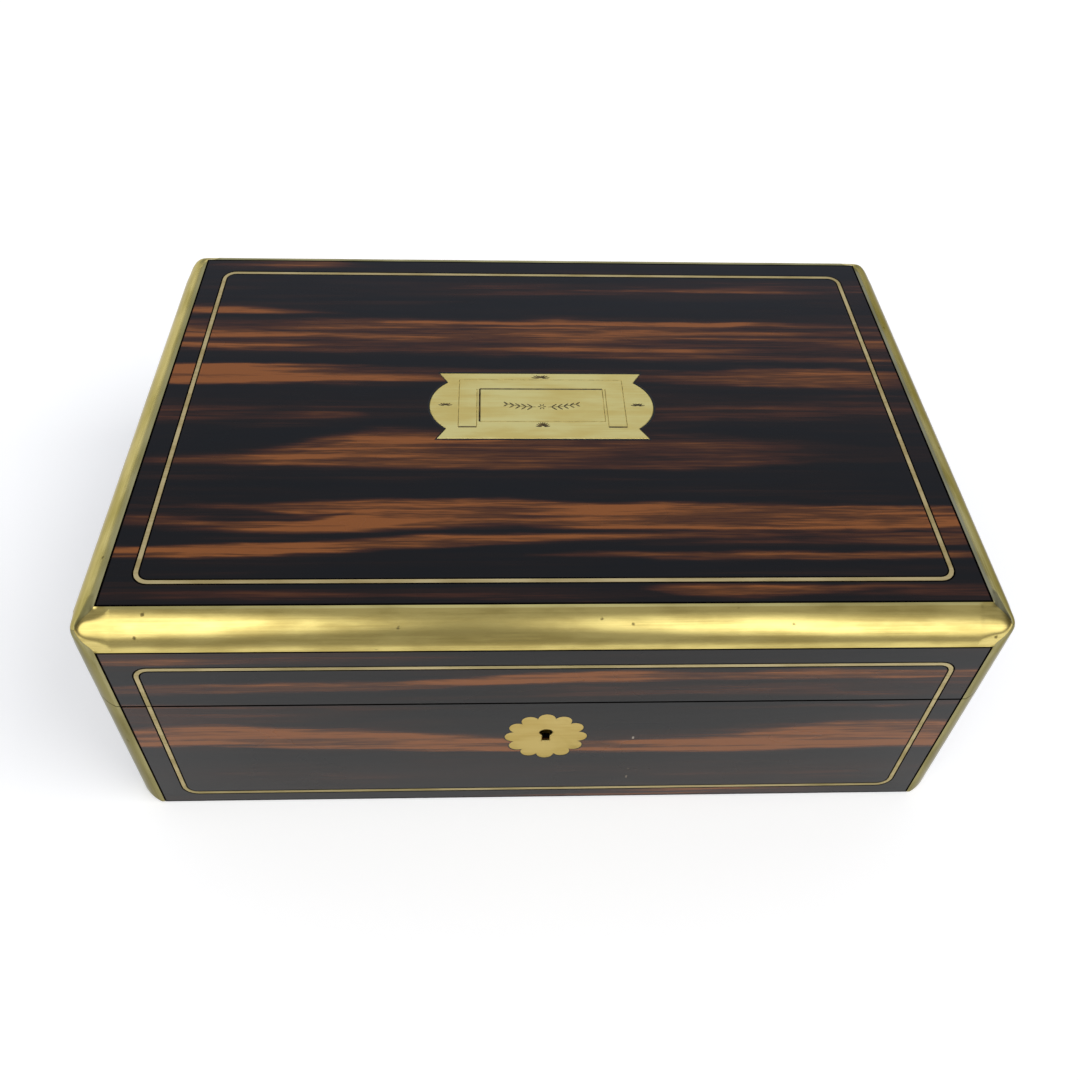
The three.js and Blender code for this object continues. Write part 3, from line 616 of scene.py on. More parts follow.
@dataclass(frozen=True)
class SilveredGlass:
    """Old plate glass silvered behind: a near perfect mirror with brown foxing at its rim."""

    name: str
    half: tuple[float, float]  # half the glass each way, in metres
    silver: str = "#e4e8e6"
    foxing: str = "#857c6c"

    def material(self) -> Material:
        """Makes the material."""
        material, tree, place = blank(self.name, Lay.FLAT)
        split = add(tree, "SeparateXYZ", (place,))
        rims = []
        for axis, half in enumerate(self.half):
            side = add(tree, "Math", (split[axis],), operation="ABSOLUTE")[0]
            rims.append(add(tree, "Math", (half / MM, side), operation="SUBTRACT")[0])
        rim = add(tree, "Math", rims, operation="MINIMUM")[0]
        damp = add(tree, "MapRange", (rim, 1.0, 9.0, 0.15, 0.0), **EASE)[0]
        spots = clouds(tree, place, (1.6, 1.6, 1.6), 3.0)
        spots = add(tree, "Math", (spots, damp), operation="ADD")[0]
        foxed = add(tree, "MapRange", (spots, 0.66, 0.76, 0.0, 0.6), **EASE)[0]
        colour = add(tree, "Mix", {0: foxed, 6: self.silver, 7: self.foxing}, **COLOURS)[2]
        rough = add(tree, "MapRange", (foxed, 0.0, 1.0, 0.02, 0.5), **EASE)[0]
        return coat(material, {"Base Color": colour, "Metallic": 1.0, "Roughness": rough})


@dataclass(frozen=True)
class Wax:
    """Wax or mastic rubbed into cuts, or a pale fill that paints a highlight in them, dull and slightly
    uneven.
    """

    name: str
    deep: str = "#2c240f"
    pale: str = "#5e4f28"

    def material(self) -> Material:
        """Makes the material."""
        material, tree, place = blank(self.name, Lay.FLAT)
        patchy = clouds(tree, place, (2.5, 2.5, 2.5), span=(0.35, 0.65))
        colour = add(tree, "Mix", {0: patchy, 6: self.deep, 7: self.pale}, **COLOURS)[2]
        return coat(material, {"Base Color": colour, "Roughness": 0.6})


# Mesh helpers


def settle(
    bm: BMesh,
    name: str,
    body: str,
    materials: Sequence[Material],
    stands_for: Sequence[str] = (),
) -> Object:
    """Turns finished mesh work into a piece that rides on its body.

    Args:
        bm: the mesh work, which is used up.
        name: the piece's name.
        body: the body that it rides on.
        materials: its materials, the main one first.
        stands_for: the plain nodes that it replaces.

    Returns:
        The new piece.
    """
    for face in bm.faces:
        face.smooth = True
    for edge in bm.edges:
        one_material = len({face.material_index for face in edge.link_faces}) == 1
        edge.smooth = one_material and edge.calc_face_angle(0.0) < EDGE_ANGLE
    mesh = bpy.data.meshes.new(name)
    bm.to_mesh(mesh)
    bm.free()
    for material in materials:
        mesh.materials.append(material)
    piece = bpy.data.objects.new(name, mesh)
    bpy.context.scene.collection.objects.link(piece)
    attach(piece, body)
    if stands_for:
        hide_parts(*stands_for)
    return piece


def dress(node: str, material: Material) -> Object:
    """Gives a plain node, whose shape is right already, its material.

    Args:
        node: the plain node.
        material: its material.

    Returns:
        The dressed piece.
    """
    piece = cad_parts[node]
    piece.data.materials.clear()
    piece.data.materials.append(material)
    return piece


def box_between(low: Vector, high: Vector) -> BMesh:
    """Makes a block from its lowest corner to its highest.

    Args:
        low: its lowest corner.
        high: its highest corner.

    Returns:
        The block.
    """
    bm = bmesh.new()
    bmesh.ops.create_cube(bm, size=1)
    bmesh.ops.scale(bm, vec=high - low, verts=bm.verts)
    move(bm, (low + high) / 2)
    return bm


def merge_into(target: BMesh, source: BMesh) -> None:
    """Adds the source's mesh to the target's and uses the source up.

    Args:
        target: the mesh that is added to.
        source: the mesh that is added.
    """
    scratch = bpy.data.meshes.new("scratch")
    source.to_mesh(scratch)
    source.free()
    target.from_mesh(scratch)
    bpy.data.meshes.remove(scratch)


def apply_tool(body: BMesh, tool: BMesh, cut: Cut) -> BMesh:
    """Joins a tool to a body, or takes it away from it.

    Args:
        body: the solid that is worked on, which is used up.
        tool: the solids that work on it, which are used up. Their faces keep their material slots.
        cut: what the tool does.

    Returns:
        The worked solid.
    """
    slots = 1 + max(face.material_index for face in tool.faces)
    objects = []
    for bm in (body, tool):
        mesh = bpy.data.meshes.new("scratch")
        bm.to_mesh(mesh)
        bm.free()
        for _ in range(slots):
            mesh.materials.append(None)
        objects.append(bpy.data.objects.new("scratch", mesh))
        bpy.context.scene.collection.objects.link(objects[-1])
    modifier = objects[0].modifiers.new("tool", "BOOLEAN")
    modifier.operation = cut.value
    modifier.object = objects[1]
    modifier.solver = "EXACT"
    modifier.use_self = True
    modifier.material_mode = "INDEX"
    graph = bpy.context.evaluated_depsgraph_get()
    worked = bmesh.new()
    worked.from_mesh(objects[0].evaluated_get(graph).to_mesh())
    objects[0].evaluated_get(graph).to_mesh_clear()
    for piece in objects:
        mesh = piece.data
        bpy.data.objects.remove(piece)
        bpy.data.meshes.remove(mesh)
    bmesh.ops.remove_doubles(worked, verts=worked.verts, dist=WELD)
    return worked


def copy_of(node: str) -> BMesh:
    """Copies a plain node.

    Args:
        node: the plain node.

    Returns:
        One closed mesh with its flat faces whole.
    """
    bm = bmesh.new()
    bm.from_mesh(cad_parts[node].data)
    bmesh.ops.remove_doubles(bm, verts=bm.verts, dist=WELD)
    flatten(bm)
    for face in bm.faces:
        face.material_index = 0
    return bm


def flatten(bm: BMesh) -> None:
    """Makes each flat face one face."""
    parts = {"verts": bm.verts, "edges": bm.edges}
    bmesh.ops.dissolve_limit(bm, angle_limit=FLAT_ANGLE, delimit={"NORMAL"}, **parts)


def round_edges(
    bm: BMesh, width: float, segments: int = 2, edges: Iterable | None = None, clamp: bool = True
) -> None:
    """Rounds edges of a solid.

    Args:
        bm: the solid.
        width: how far the rounding reaches from an edge.
        segments: the number of faces round it.
        edges: the edges to round, or all that are sharp.
        clamp: whether two roundings that meet are kept from crossing.
    """
    if edges is None:
        edges = [e for e in bm.edges if e.calc_face_angle(0.0) > SHARP]
    bmesh.ops.bevel(
        bm, geom=list(edges), offset=width, segments=segments, profile=0.5, affect="EDGES",
        clamp_overlap=clamp, material=-1,
    )


def move(bm: BMesh, by: Sequence[float], verts: Iterable[BMVert] | None = None) -> None:
    """Moves some vertices, or all of them."""
    bmesh.ops.translate(bm, vec=by, verts=bm.verts if verts is None else verts)


def turn(bm: BMesh, angle: float, axis: str, verts: Iterable[BMVert] | None = None) -> None:
    """Turns some vertices, or all of them, about an axis through the origin."""
    matrix = Matrix.Rotation(angle, 3, axis)
    bmesh.ops.rotate(bm, cent=(0, 0, 0), matrix=matrix, verts=bm.verts if verts is None else verts)


def verts_in(geometry: Iterable) -> list[BMVert]:
    """Picks the vertices out of mixed geometry."""
    return [item for item in geometry if isinstance(item, BMVert)]


def sweep(
    bm: BMesh, geometry: Iterable, hub: Sequence[float], angle: float, steps: int, copies: bool = False
) -> list[BMVert]:
    """Sweeps geometry round an upright axis.

    Args:
        bm: the mesh.
        geometry: what is swept.
        hub: a point on the axis.
        angle: how far it is swept.
        steps: in how many steps.
        copies: whether it leaves separate copies, and not a line.

    Returns:
        The vertices at the end.
    """
    made = bmesh.ops.spin(
        bm, geom=list(geometry), cent=hub, axis=(0, 0, 1), angle=angle, steps=steps,
        use_merge=False, use_duplicate=copies,
    )
    return verts_in(made["geom_last"])


def fill_outline(bm: BMesh) -> None:
    """Fills a flat outline that is drawn as edges alone."""
    bmesh.ops.triangle_fill(bm, edges=bm.edges, use_beauty=True)
    bmesh.ops.recalc_face_normals(bm, faces=bm.faces)


def extrude(bm: BMesh, rise: float) -> None:
    """Gives flat faces a thickness, up or down.

    Args:
        bm: the faces.
        rise: how far they are drawn out.
    """
    raised = bmesh.ops.extrude_face_region(bm, geom=list(bm.faces))["geom"]
    move(bm, (0, 0, rise), verts_in(raised))
    bmesh.ops.recalc_face_normals(bm, faces=bm.faces)


def score(bm: BMesh, axis: int, place: float, side: int, tolerance: float) -> None:
    """Divides the faces where a plane crosses them.

    Args:
        bm: the mesh.
        axis: the axis that the plane is square to.
        place: where it crosses that axis.
        side: 1 or -1, for the way that it faces.
        tolerance: vertices nearer to it than this count as on it.
    """
    point, normal = Vector(), Vector()
    point[axis], normal[axis] = place, side
    geometry = [*bm.verts, *bm.edges, *bm.faces]
    bmesh.ops.bisect_plane(bm, geom=geometry, plane_co=point, plane_no=normal, dist=tolerance)


def keep_behind(bm: BMesh, point: Vector, normal: Vector) -> None:
    """Cuts a closed mesh by a plane and closes the cut.

    Args:
        bm: the mesh, of which the part behind the plane stays.
        point: a point on the plane.
        normal: the way that the plane faces.
    """
    geometry = [*bm.verts, *bm.edges, *bm.faces]
    made = bmesh.ops.bisect_plane(
        bm, geom=geometry, plane_co=point, plane_no=normal, dist=FINE, clear_outer=True
    )
    rim = [e for e in made["geom_cut"] if isinstance(e, BMEdge)]
    bmesh.ops.holes_fill(bm, edges=rim, sides=0)
    bmesh.ops.delete(bm, geom=[v for v in bm.verts if not v.link_faces], context="VERTS")


def work_up(
    node: str, name: str, body: str, material: Material, width: float, segments: int = 2
) -> Object:
    """Makes a piece of a plain node by rounding its sharp edges.

    Args:
        node: the plain node.
        name: the piece's name.
        body: the body that it rides on.
        material: its material.
        width: how far the rounding reaches from an edge.
        segments: the number of faces round it.

    Returns:
        The new piece.
    """
    bm = copy_of(node)
    round_edges(bm, width, segments)
    return settle(bm, name, body, [material], [node])


# Brass


def mastic_ring(bm: BMesh, half_x: float, half_y: float, width: float) -> None:
    """Turns an outline at a height of zero to a ring of mastic just outside it.

    Args:
        bm: the outline, as edges alone.
        half_x: half its length.
        half_y: half its breadth.
        width: how broad the ring is.
    """
    outer = verts_in(bmesh.ops.duplicate(bm, geom=[*bm.verts, *bm.edges])["geom"])
    bmesh.ops.scale(bm, vec=(1 + width / half_x, 1 + width / half_y, 1), verts=outer)
    fill_outline(bm)
    extrude(bm, MASTIC_PROUD + MASTIC_DEPTH)
    move(bm, (0, 0, -MASTIC_DEPTH))


@dataclass
class BrassEdging:
    """The moulded brass over every outer edge of the case but those at its foot.

    Each strip has a flat land on both sides of a shallow swell. Three strips meet at a corner
    that is filed to a soft knob.
    """

    width: float = 11.4 * MM
    land: float = 1.3 * MM
    crown: float = 1.2 * MM
    gauge: float = 1.5 * MM
    hairline: float = 0.04 * MM  # half of the joint between two strips
    arc_segments: int = 20
    knob: float = 8.9 * MM  # the ball that a corner is filed to
    knob_fade: float = 6 * MM  # how far along the strips the ball fades out
    knob_steps: int = 8
    knob_margin: int = 3  # steps on past the fade
    filing: int = 16  # passes of the file over a corner
    overrun: float = 5 * MM  # of the sheet, past the foot
    least_flat: float = 20 * MM  # a smaller flat face than this belongs to a strip
    walls: dict[str, Vector] = field(
        default_factory=lambda: {
            "left": Vector((1, 0, 0)),
            "right": Vector((-1, 0, 0)),
            "front": Vector((0, 1, 0)),
            "back": Vector((0, -1, 0)),
            "top": Vector((0, 0, -1)),
        }
    )
    # One brass in five copies: the back, left, right and upright copies are painted darker and greyer than
    # the front's, and the right and upright ones tint their reflections darker at a slant: painted shade.
    finishes: dict[str, AgedBrass] = field(
        default_factory=lambda: {
            "front": AgedBrass("front_edging_brass"),
            "back": AgedBrass("back_edging_brass", Lay.FLAT, "#c4ba84", "#a39a68", seed=2.0),
            "left": AgedBrass("left_edging_brass", Lay.FLAT_CROSS, "#c8bc82", "#a99e62", seed=5.0),
            "right": AgedBrass(
                "right_edging_brass", Lay.FLAT_CROSS, "#b3ad88", "#99926a", slant="#aaa286", seed=8.0
            ),
            "upright": AgedBrass(
                "upright_edging_brass", Lay.UPRIGHT, "#a09970", "#89825c", slant="#c2beac", seed=11.0
            ),
        }
    )

    def __post_init__(self) -> None:
        """Takes the case's outside from the plain edging."""
        self.half_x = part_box("lid_right_edging")[1].x
        self.half_y = -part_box("lid_front_edging")[0].y
        self.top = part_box("lid_front_edging")[1].z
        self.foot, self.rim = (corner.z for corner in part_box("base_front_left_edging"))
        self.lid_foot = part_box("lid_front_left_edging")[0].z
        reach = self.width - self.land
        chord = reach * math.sqrt(2)
        self.radius = chord**2 / (8 * self.crown) + self.crown / 2
        # Both coordinates of the swell's centre, measured out from where the flat faces end
        self.centre = (math.sqrt(8 * self.radius**2 - 4 * reach**2) - 2 * reach) / 4

    def _place(self, wall: str) -> Vector:
        """Gives a point on the named face of the case."""
        outward = -self.walls[wall]
        return Vector((outward.x * self.half_x, outward.y * self.half_y, outward.z * self.top))

    def _let_down(self, past: Vector) -> Vector:
        """Moves a point from a quarter round to the swell.

        Args:
            past: how far the point lies past the flat faces on each axis.

        Returns:
            The same for the point on the swell.
        """
        if sum(value > LEAST for value in past) < 2:
            return past
        ray = past.normalized()
        lengths = []
        for a, b in ((ray.x, ray.y), (ray.y, ray.z), (ray.z, ray.x)):
            square = a * a + b * b
            if min(a, b) > LEAST_SLOPE:
                half = self.centre * (a + b)
                spare = 2 * self.centre**2 - self.radius**2
                lengths.append((math.sqrt(half**2 - square * spare) - half) / square)
        return ray * min(lengths)

    def _sheet(self) -> BMesh:
        """Makes the outer surface of all the edging, down past the foot."""
        reach = self.width - self.land
        depth = self.top - self.foot + self.overrun
        low = Vector((-self.half_x, -self.half_y, self.top - depth))
        bm = box_between(low, Vector((self.half_x, self.half_y, self.top)))
        under = [f for f in bm.faces if f.normal.z < -0.5]
        edges = [e for e in bm.edges if not any(f in under for f in e.link_faces)]
        round_edges(bm, reach, self.arc_segments, edges, clamp=False)
        inner = Vector((self.half_x - reach, self.half_y - reach, self.top - reach))
        for vert in bm.verts:
            size, past = self._split(vert.co, inner)
            self._put(vert, size - past + self._let_down(past))
        bm.normal_update()
        large = [f for f in bm.faces if f.calc_area() > self.least_flat**2]
        flats = [f for f in large if max(map(abs, f.normal)) > 0.999]  # square to an axis
        bmesh.ops.inset_individual(bm, faces=flats, thickness=self.land, use_even_offset=True)
        bmesh.ops.delete(bm, geom=flats, context="FACES")
        self._file_corners(bm, inner)
        return bm

    def _split(self, place: Vector, inner: Vector) -> tuple[Vector, Vector]:
        """Gives how far a place is from the middle on each axis, and how far past the flat faces.

        Args:
            place: the place.
            inner: where the flat faces end.

        Returns:
            Both distances.
        """
        size = Vector((abs(place.x), abs(place.y), place.z))
        return size, Vector([max(0.0, s - i) for s, i in zip(size, inner, strict=True)])

    def _put(self, vert: BMVert, size: Vector) -> None:
        """Moves a vertex to a distance from the middle on each axis, on its own side."""
        vert.co = (math.copysign(size.x, vert.co.x), math.copysign(size.y, vert.co.y), size.z)

    def _file_corners(self, bm: BMesh, inner: Vector) -> None:
        """Files each corner down to a ball that runs out into the strips.

        Args:
            bm: the sheet.
            inner: where the flat faces end.
        """
        for step in range(self.knob_steps + self.knob_margin):
            back = self.knob_fade * step / self.knob_steps
            for axis, sign in ((0, -1), (0, 1), (1, -1), (1, 1), (2, 1)):
                score(bm, axis, sign * (inner[axis] - back), sign, LEAST)
        corner = []
        for vert in bm.verts:
            size, past = self._split(vert.co, inner)
            share = min(1.0, 1 + min(size - inner) / self.knob_fade)
            if vert.is_boundary or share <= 0:
                continue
            corner.append(vert)
            spare = max(0.0, 1 - self.knob / past.length) if past.length else 0.0
            self._put(vert, size - past * spare * share * share * (3 - 2 * share))
        for _ in range(self.filing):
            bmesh.ops.smooth_vert(
                bm, verts=corner, factor=0.5, use_axis_x=True, use_axis_y=True, use_axis_z=True
            )

    def _shell(self) -> BMesh:
        """Gives the sheet its thickness, inwards, and cuts it at the foot."""
        bm = self._sheet()
        bmesh.ops.recalc_face_normals(bm, faces=bm.faces)
        bmesh.ops.solidify(bm, geom=bm.faces, thickness=self.gauge)
        bmesh.ops.recalc_face_normals(bm, faces=bm.faces)
        keep_behind(bm, Vector((0, 0, self.foot)), Vector((0, 0, -1)))
        return bm

    def _mitre(self, bm: BMesh, near: str, far: str) -> None:
        """Cuts away what lies nearer to the face `far` than to the face `near`.

        Args:
            bm: the strip.
            near: the face that keeps it.
            far: the face that it is cut away from.
        """
        inward_near, inward_far = self.walls[near], self.walls[far]
        offset = inward_near.dot(self._place(near)) - inward_far.dot(self._place(far))
        normal = (inward_near - inward_far) / math.sqrt(2)
        point = normal * (offset / math.sqrt(2) - self.hairline)
        keep_behind(bm, point, normal)

    def _strip(self, shell: BMesh, pair: tuple[str, str], ends: Iterable[str]) -> BMesh:
        """Cuts one strip, mitred at its ends, out of a copy of the shell.

        Args:
            shell: the whole of the edging.
            pair: the two faces that the strip joins.
            ends: the faces at its ends.

        Returns:
            The strip.
        """
        bm = shell.copy()
        for end in ends:
            for near in pair:
                self._mitre(bm, near, end)
        return bm

    def build(self) -> list[Object]:
        """Makes the twelve strips."""
        shell = self._shell()
        pieces = []
        brass = {wall: finish.material() for wall, finish in self.finishes.items()}
        across, along = ("left", "right"), ("front", "back")
        sides = {"front": across, "back": across, "left": along, "right": along}
        for wall, ends in sides.items():
            strip = self._strip(shell, (wall, "top"), ends)
            pieces.append(self._settle(strip, f"lid_{wall}_edging", "lid", brass[wall]))
        for wall in ("front", "back"):
            for side in sides[wall]:
                upright = self._strip(shell, (wall, side), ("top",))
                lid_part = upright.copy()
                keep_behind(lid_part, Vector((0, 0, self.lid_foot)), Vector((0, 0, -1)))
                keep_behind(upright, Vector((0, 0, self.rim)), Vector((0, 0, 1)))
                for bm, body in ((lid_part, "lid"), (upright, "base")):
                    node = f"{body}_{wall}_{side}_edging"
                    pieces.append(self._settle(bm, node, body, brass["upright"]))
        shell.free()
        return pieces

    def _settle(self, bm: BMesh, node: str, body: str, brass: Material) -> Object:
        """Makes a strip's mesh a piece in place of its plain node."""
        return settle(bm, node.replace("edging", "moulding"), body, [brass], [node])


@dataclass
class Stringing:
    """Brass lines let into the veneer: a loop on the lid and one on the front, parted at the saw cut."""

    # One brass in two copies: the top's is painted paler, painted light, and the front's darker, painted
    # shade.
    top: AgedBrass = AgedBrass(
        "lit_top_stringing_brass", Lay.FLAT, "#e8d298", "#ccb67c", roughness=(0.42, 0.56), pitted=False
    )
    front: AgedBrass = AgedBrass(
        "shaded_front_stringing_brass", Lay.FACING, "#bcae86", "#a3966c", roughness=(0.42, 0.56), pitted=False
    )

    def build(self) -> list[Object]:
        """Dresses the three lengths."""
        front = self.front.material()
        pieces = [dress(node, front) for node in ("lid_front_stringing", "base_front_stringing")]
        return [dress("lid_top_stringing", self.top.material()), *pieces]


@dataclass
class Escutcheon:
    """The scalloped keyhole plate, flush with the veneer, with a bright chamfer round the keyhole."""

    lobes: int = 12
    lobe_centre: float = 12.85 * MM
    lobe_radius: float = 3.4 * MM
    lobe_steps: int = 10
    thickness: float = 1.0 * MM
    key_radius: float = 2.6 * MM
    key_slot: float = 3.0 * MM
    key_rise: float = 2.6 * MM
    key_drop: float = 5.9 * MM
    key_steps: int = 24
    rim_round: float = 0.15 * MM
    key_chamfer: float = 0.35 * MM
    finish: AgedBrass = AgedBrass(
        "escutcheon_brass", Lay.FACING, "#c8b374", "#bca462", roughness=(0.32, 0.44), pitted=False
    )
    mastic_width: float = 0.4 * MM

    def _outline(self, bm: BMesh) -> None:
        """Draws the ring of lobes about the origin.

        Args:
            bm: the mesh that gets it.
        """
        half_step = math.pi / self.lobes
        half_chord = self.lobe_centre * math.sin(half_step)
        valley = self.lobe_centre * math.cos(half_step) + math.sqrt(self.lobe_radius**2 - half_chord**2)
        start = Vector((math.cos(half_step), -math.sin(half_step), 0)) * valley
        hub = Vector((self.lobe_centre, 0, 0))
        reach = math.atan2(-start.y, start.x - hub.x)
        first = bmesh.ops.create_vert(bm, co=start)["vert"]
        sweep(bm, first, hub, 2 * reach, self.lobe_steps)
        others = self.lobes - 1
        sweep(bm, [*bm.verts, *bm.edges], (0, 0, 0), 2 * math.pi * others / self.lobes, others, True)
        bmesh.ops.remove_doubles(bm, verts=bm.verts, dist=OUTLINE_WELD)

    def _keyhole(self, bm: BMesh) -> None:
        """Draws the keyhole: a round head and a straight slot.

        Args:
            bm: the mesh that gets it.
        """
        half = self.key_slot / 2
        meet = math.asin(half / self.key_radius)
        hub = Vector((0, self.key_rise, 0))
        start = hub + Vector((half, -self.key_radius * math.cos(meet), 0))
        head = bmesh.ops.create_vert(bm, co=start)["vert"]
        last = sweep(bm, head, hub, 2 * math.pi - 2 * meet, self.key_steps)[0]
        foot = self.key_rise - self.key_drop
        corners = [bmesh.ops.create_vert(bm, co=(x, foot, 0))["vert"][0] for x in (-half, half)]
        for pair in ((last, corners[0]), corners, (corners[1], head[0])):
            bmesh.ops.contextual_create(bm, geom=list(pair))

    def build(self) -> list[Object]:
        """Makes the plate."""
        low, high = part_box("keyhole_escutcheon")
        bm = bmesh.new()
        self._outline(bm)
        self._keyhole(bm)
        fill_outline(bm)
        extrude(bm, self.thickness)
        flatten(bm)
        self._round(bm, self.rim_round, lambda reach: reach > self.lobe_centre)
        self._round(bm, self.key_chamfer, lambda reach: reach < self.lobe_centre)
        turn(bm, math.pi / 2, "X")
        middle = (low.z + high.z) / 2
        move(bm, (0, low.y + self.thickness, middle))
        brass = self.finish.material()
        plate = settle(bm, "scalloped_escutcheon", "base", [brass], ["keyhole_escutcheon"])
        ring = bmesh.new()
        self._outline(ring)
        reach = self.lobe_centre + self.lobe_radius
        mastic_ring(ring, reach, reach, self.mastic_width)
        turn(ring, math.pi / 2, "X")
        move(ring, (0, low.y, middle))
        mastic = Wax("escutcheon_mastic", *MASTIC_AND_SHADOW).material()
        return [plate, settle(ring, "escutcheon_bedding", "base", [mastic])]

    def _round(self, bm: BMesh, width: float, wanted: Callable[[float], bool]) -> None:
        """Rounds the front edges whose distance from the middle is wanted.

        Args:
            bm: the plate.
            width: how far the rounding reaches.
            wanted: tells of a distance whether it is.
        """
        front = [e for e in bm.edges if min(v.co.z for v in e.verts) > self.thickness / 2]
        sharp = [e for e in front if e.calc_face_angle(0.0) > SHARP]
        edges = [e for e in sharp if wanted((e.verts[0].co.xy + e.verts[1].co.xy).length / 2)]
        round_edges(bm, width, 1 if width > self.rim_round else 2, edges)


@dataclass
class Graver:
    """Cuts lines and leaves into a flat plate that lies at a height of zero."""

    line_width: float = 0.42 * MM
    bold_width: float = 0.8 * MM
    leaf_depth: float = 0.2 * MM
    leaf_width: float = 0.8  # as a share of a bold line's width
    fan_middle: float = 0.58  # of a palmette's reach, where a leaf has its middle
    fan_leaf: float = 0.8  # of its reach, the length of a leaf
    branch_start: float = 0.6  # of a step, before the first leaves
    branch_rise: float = 0.16  # of its length, how far a branch curves up
    branch_turn: float = 0.32  # at its tip, in radians
    twig: tuple[float, float] = (1.2, 0.7)  # length in steps, breadth in lines
    blade: tuple[float, float] = (1.15, 0.35)  # length in steps, and what it loses to the tip
    blade_middle: float = 0.55  # of a blade, from the branch to its middle
    lean: float = math.radians(38)
    tool: BMesh = field(default_factory=bmesh.new)

    def _mark(self, verts: Sequence[BMVert], bold: bool) -> None:
        """Gives a cut its filling: slot 1 is dark wax and slot 2 is a pale fill, a painted highlight along
        the cut.
        """
        for face in {f for vert in verts for f in vert.link_faces}:
            face.material_index = 1 if bold else 2

    def line(self, start: Vector, end: Vector, bold: bool = False) -> None:
        """Cuts a straight line with a V-shaped bottom.

        Args:
            start: one end.
            end: the other end.
            bold: whether it is broad and dark.
        """
        width = self.bold_width if bold else self.line_width
        along = end - start
        made = bmesh.ops.create_cone(
            self.tool, segments=4, radius1=width / 2, radius2=width / 2, depth=along.length, cap_ends=True
        )["verts"]
        self._mark(made, bold)
        lie = Euler((0, math.pi / 2, math.atan2(along.y, along.x)))
        place = Matrix.Translation((start + end) / 2) @ lie.to_matrix().to_4x4()
        bmesh.ops.transform(self.tool, matrix=place, verts=made)

    def leaf(self, centre: Vector, length: float, width: float, angle: float, bold: bool = True) -> None:
        """Cuts a leaf that is pointed at both ends.

        Args:
            centre: its middle.
            length: its length.
            width: its breadth.
            angle: its turn from X.
            bold: whether it is dark.
        """
        made = bmesh.ops.create_uvsphere(self.tool, u_segments=6, v_segments=8, radius=0.5)["verts"]
        self._mark(made, bold)
        turn(self.tool, math.pi / 2, "Y", made)
        bmesh.ops.scale(self.tool, vec=(length, width, 2 * self.leaf_depth), verts=made)
        turn(self.tool, angle, "Z", made)
        move(self.tool, centre, made)

    def palmette(self, foot: Vector, reach: float, rise: float, leaves: int) -> None:
        """Cuts a fan of leaves.

        Args:
            foot: where the leaves meet.
            reach: the length of the lowest leaves.
            rise: the length of the leaf in the middle.
            leaves: how many there are.
        """
        for k in range(leaves):
            angle = math.pi * (k + 0.5) / leaves
            length = math.hypot(reach * math.cos(angle), rise * math.sin(angle))
            out = Vector((math.cos(angle), math.sin(angle), 0)) * length * self.fan_middle
            self.leaf(foot + out, length * self.fan_leaf, self.bold_width * self.leaf_width, angle)

    def branch(self, start: Vector, length: float, leaves: int, side: int) -> None:
        """Cuts a branch that runs along X and curves up, with a leaf above and below at each step.

        Args:
            start: its foot.
            length: how far it runs.
            leaves: how many pairs of leaves it has.
            side: 1 if it runs to the right and -1 if to the left.
        """
        step = length / leaves
        for k in range(leaves):
            share = (k + self.branch_start) / leaves
            rise = length * self.branch_rise * share * share
            place = start + Vector((side * length * share, rise, 0))
            blade = step * (self.blade[0] - self.blade[1] * share)
            twig_length, twig_width = step * self.twig[0], self.line_width * self.twig[1]
            self.leaf(place, twig_length, twig_width, side * self.branch_turn * share)
            for way in (-1, 1):
                lean = side * way * self.lean
                out = Vector((side * math.cos(lean), side * math.sin(lean), 0))
                middle = place + out * blade * self.blade_middle
                angle = lean if side > 0 else math.pi + lean
                self.leaf(middle, blade, self.bold_width * self.leaf_width, angle)


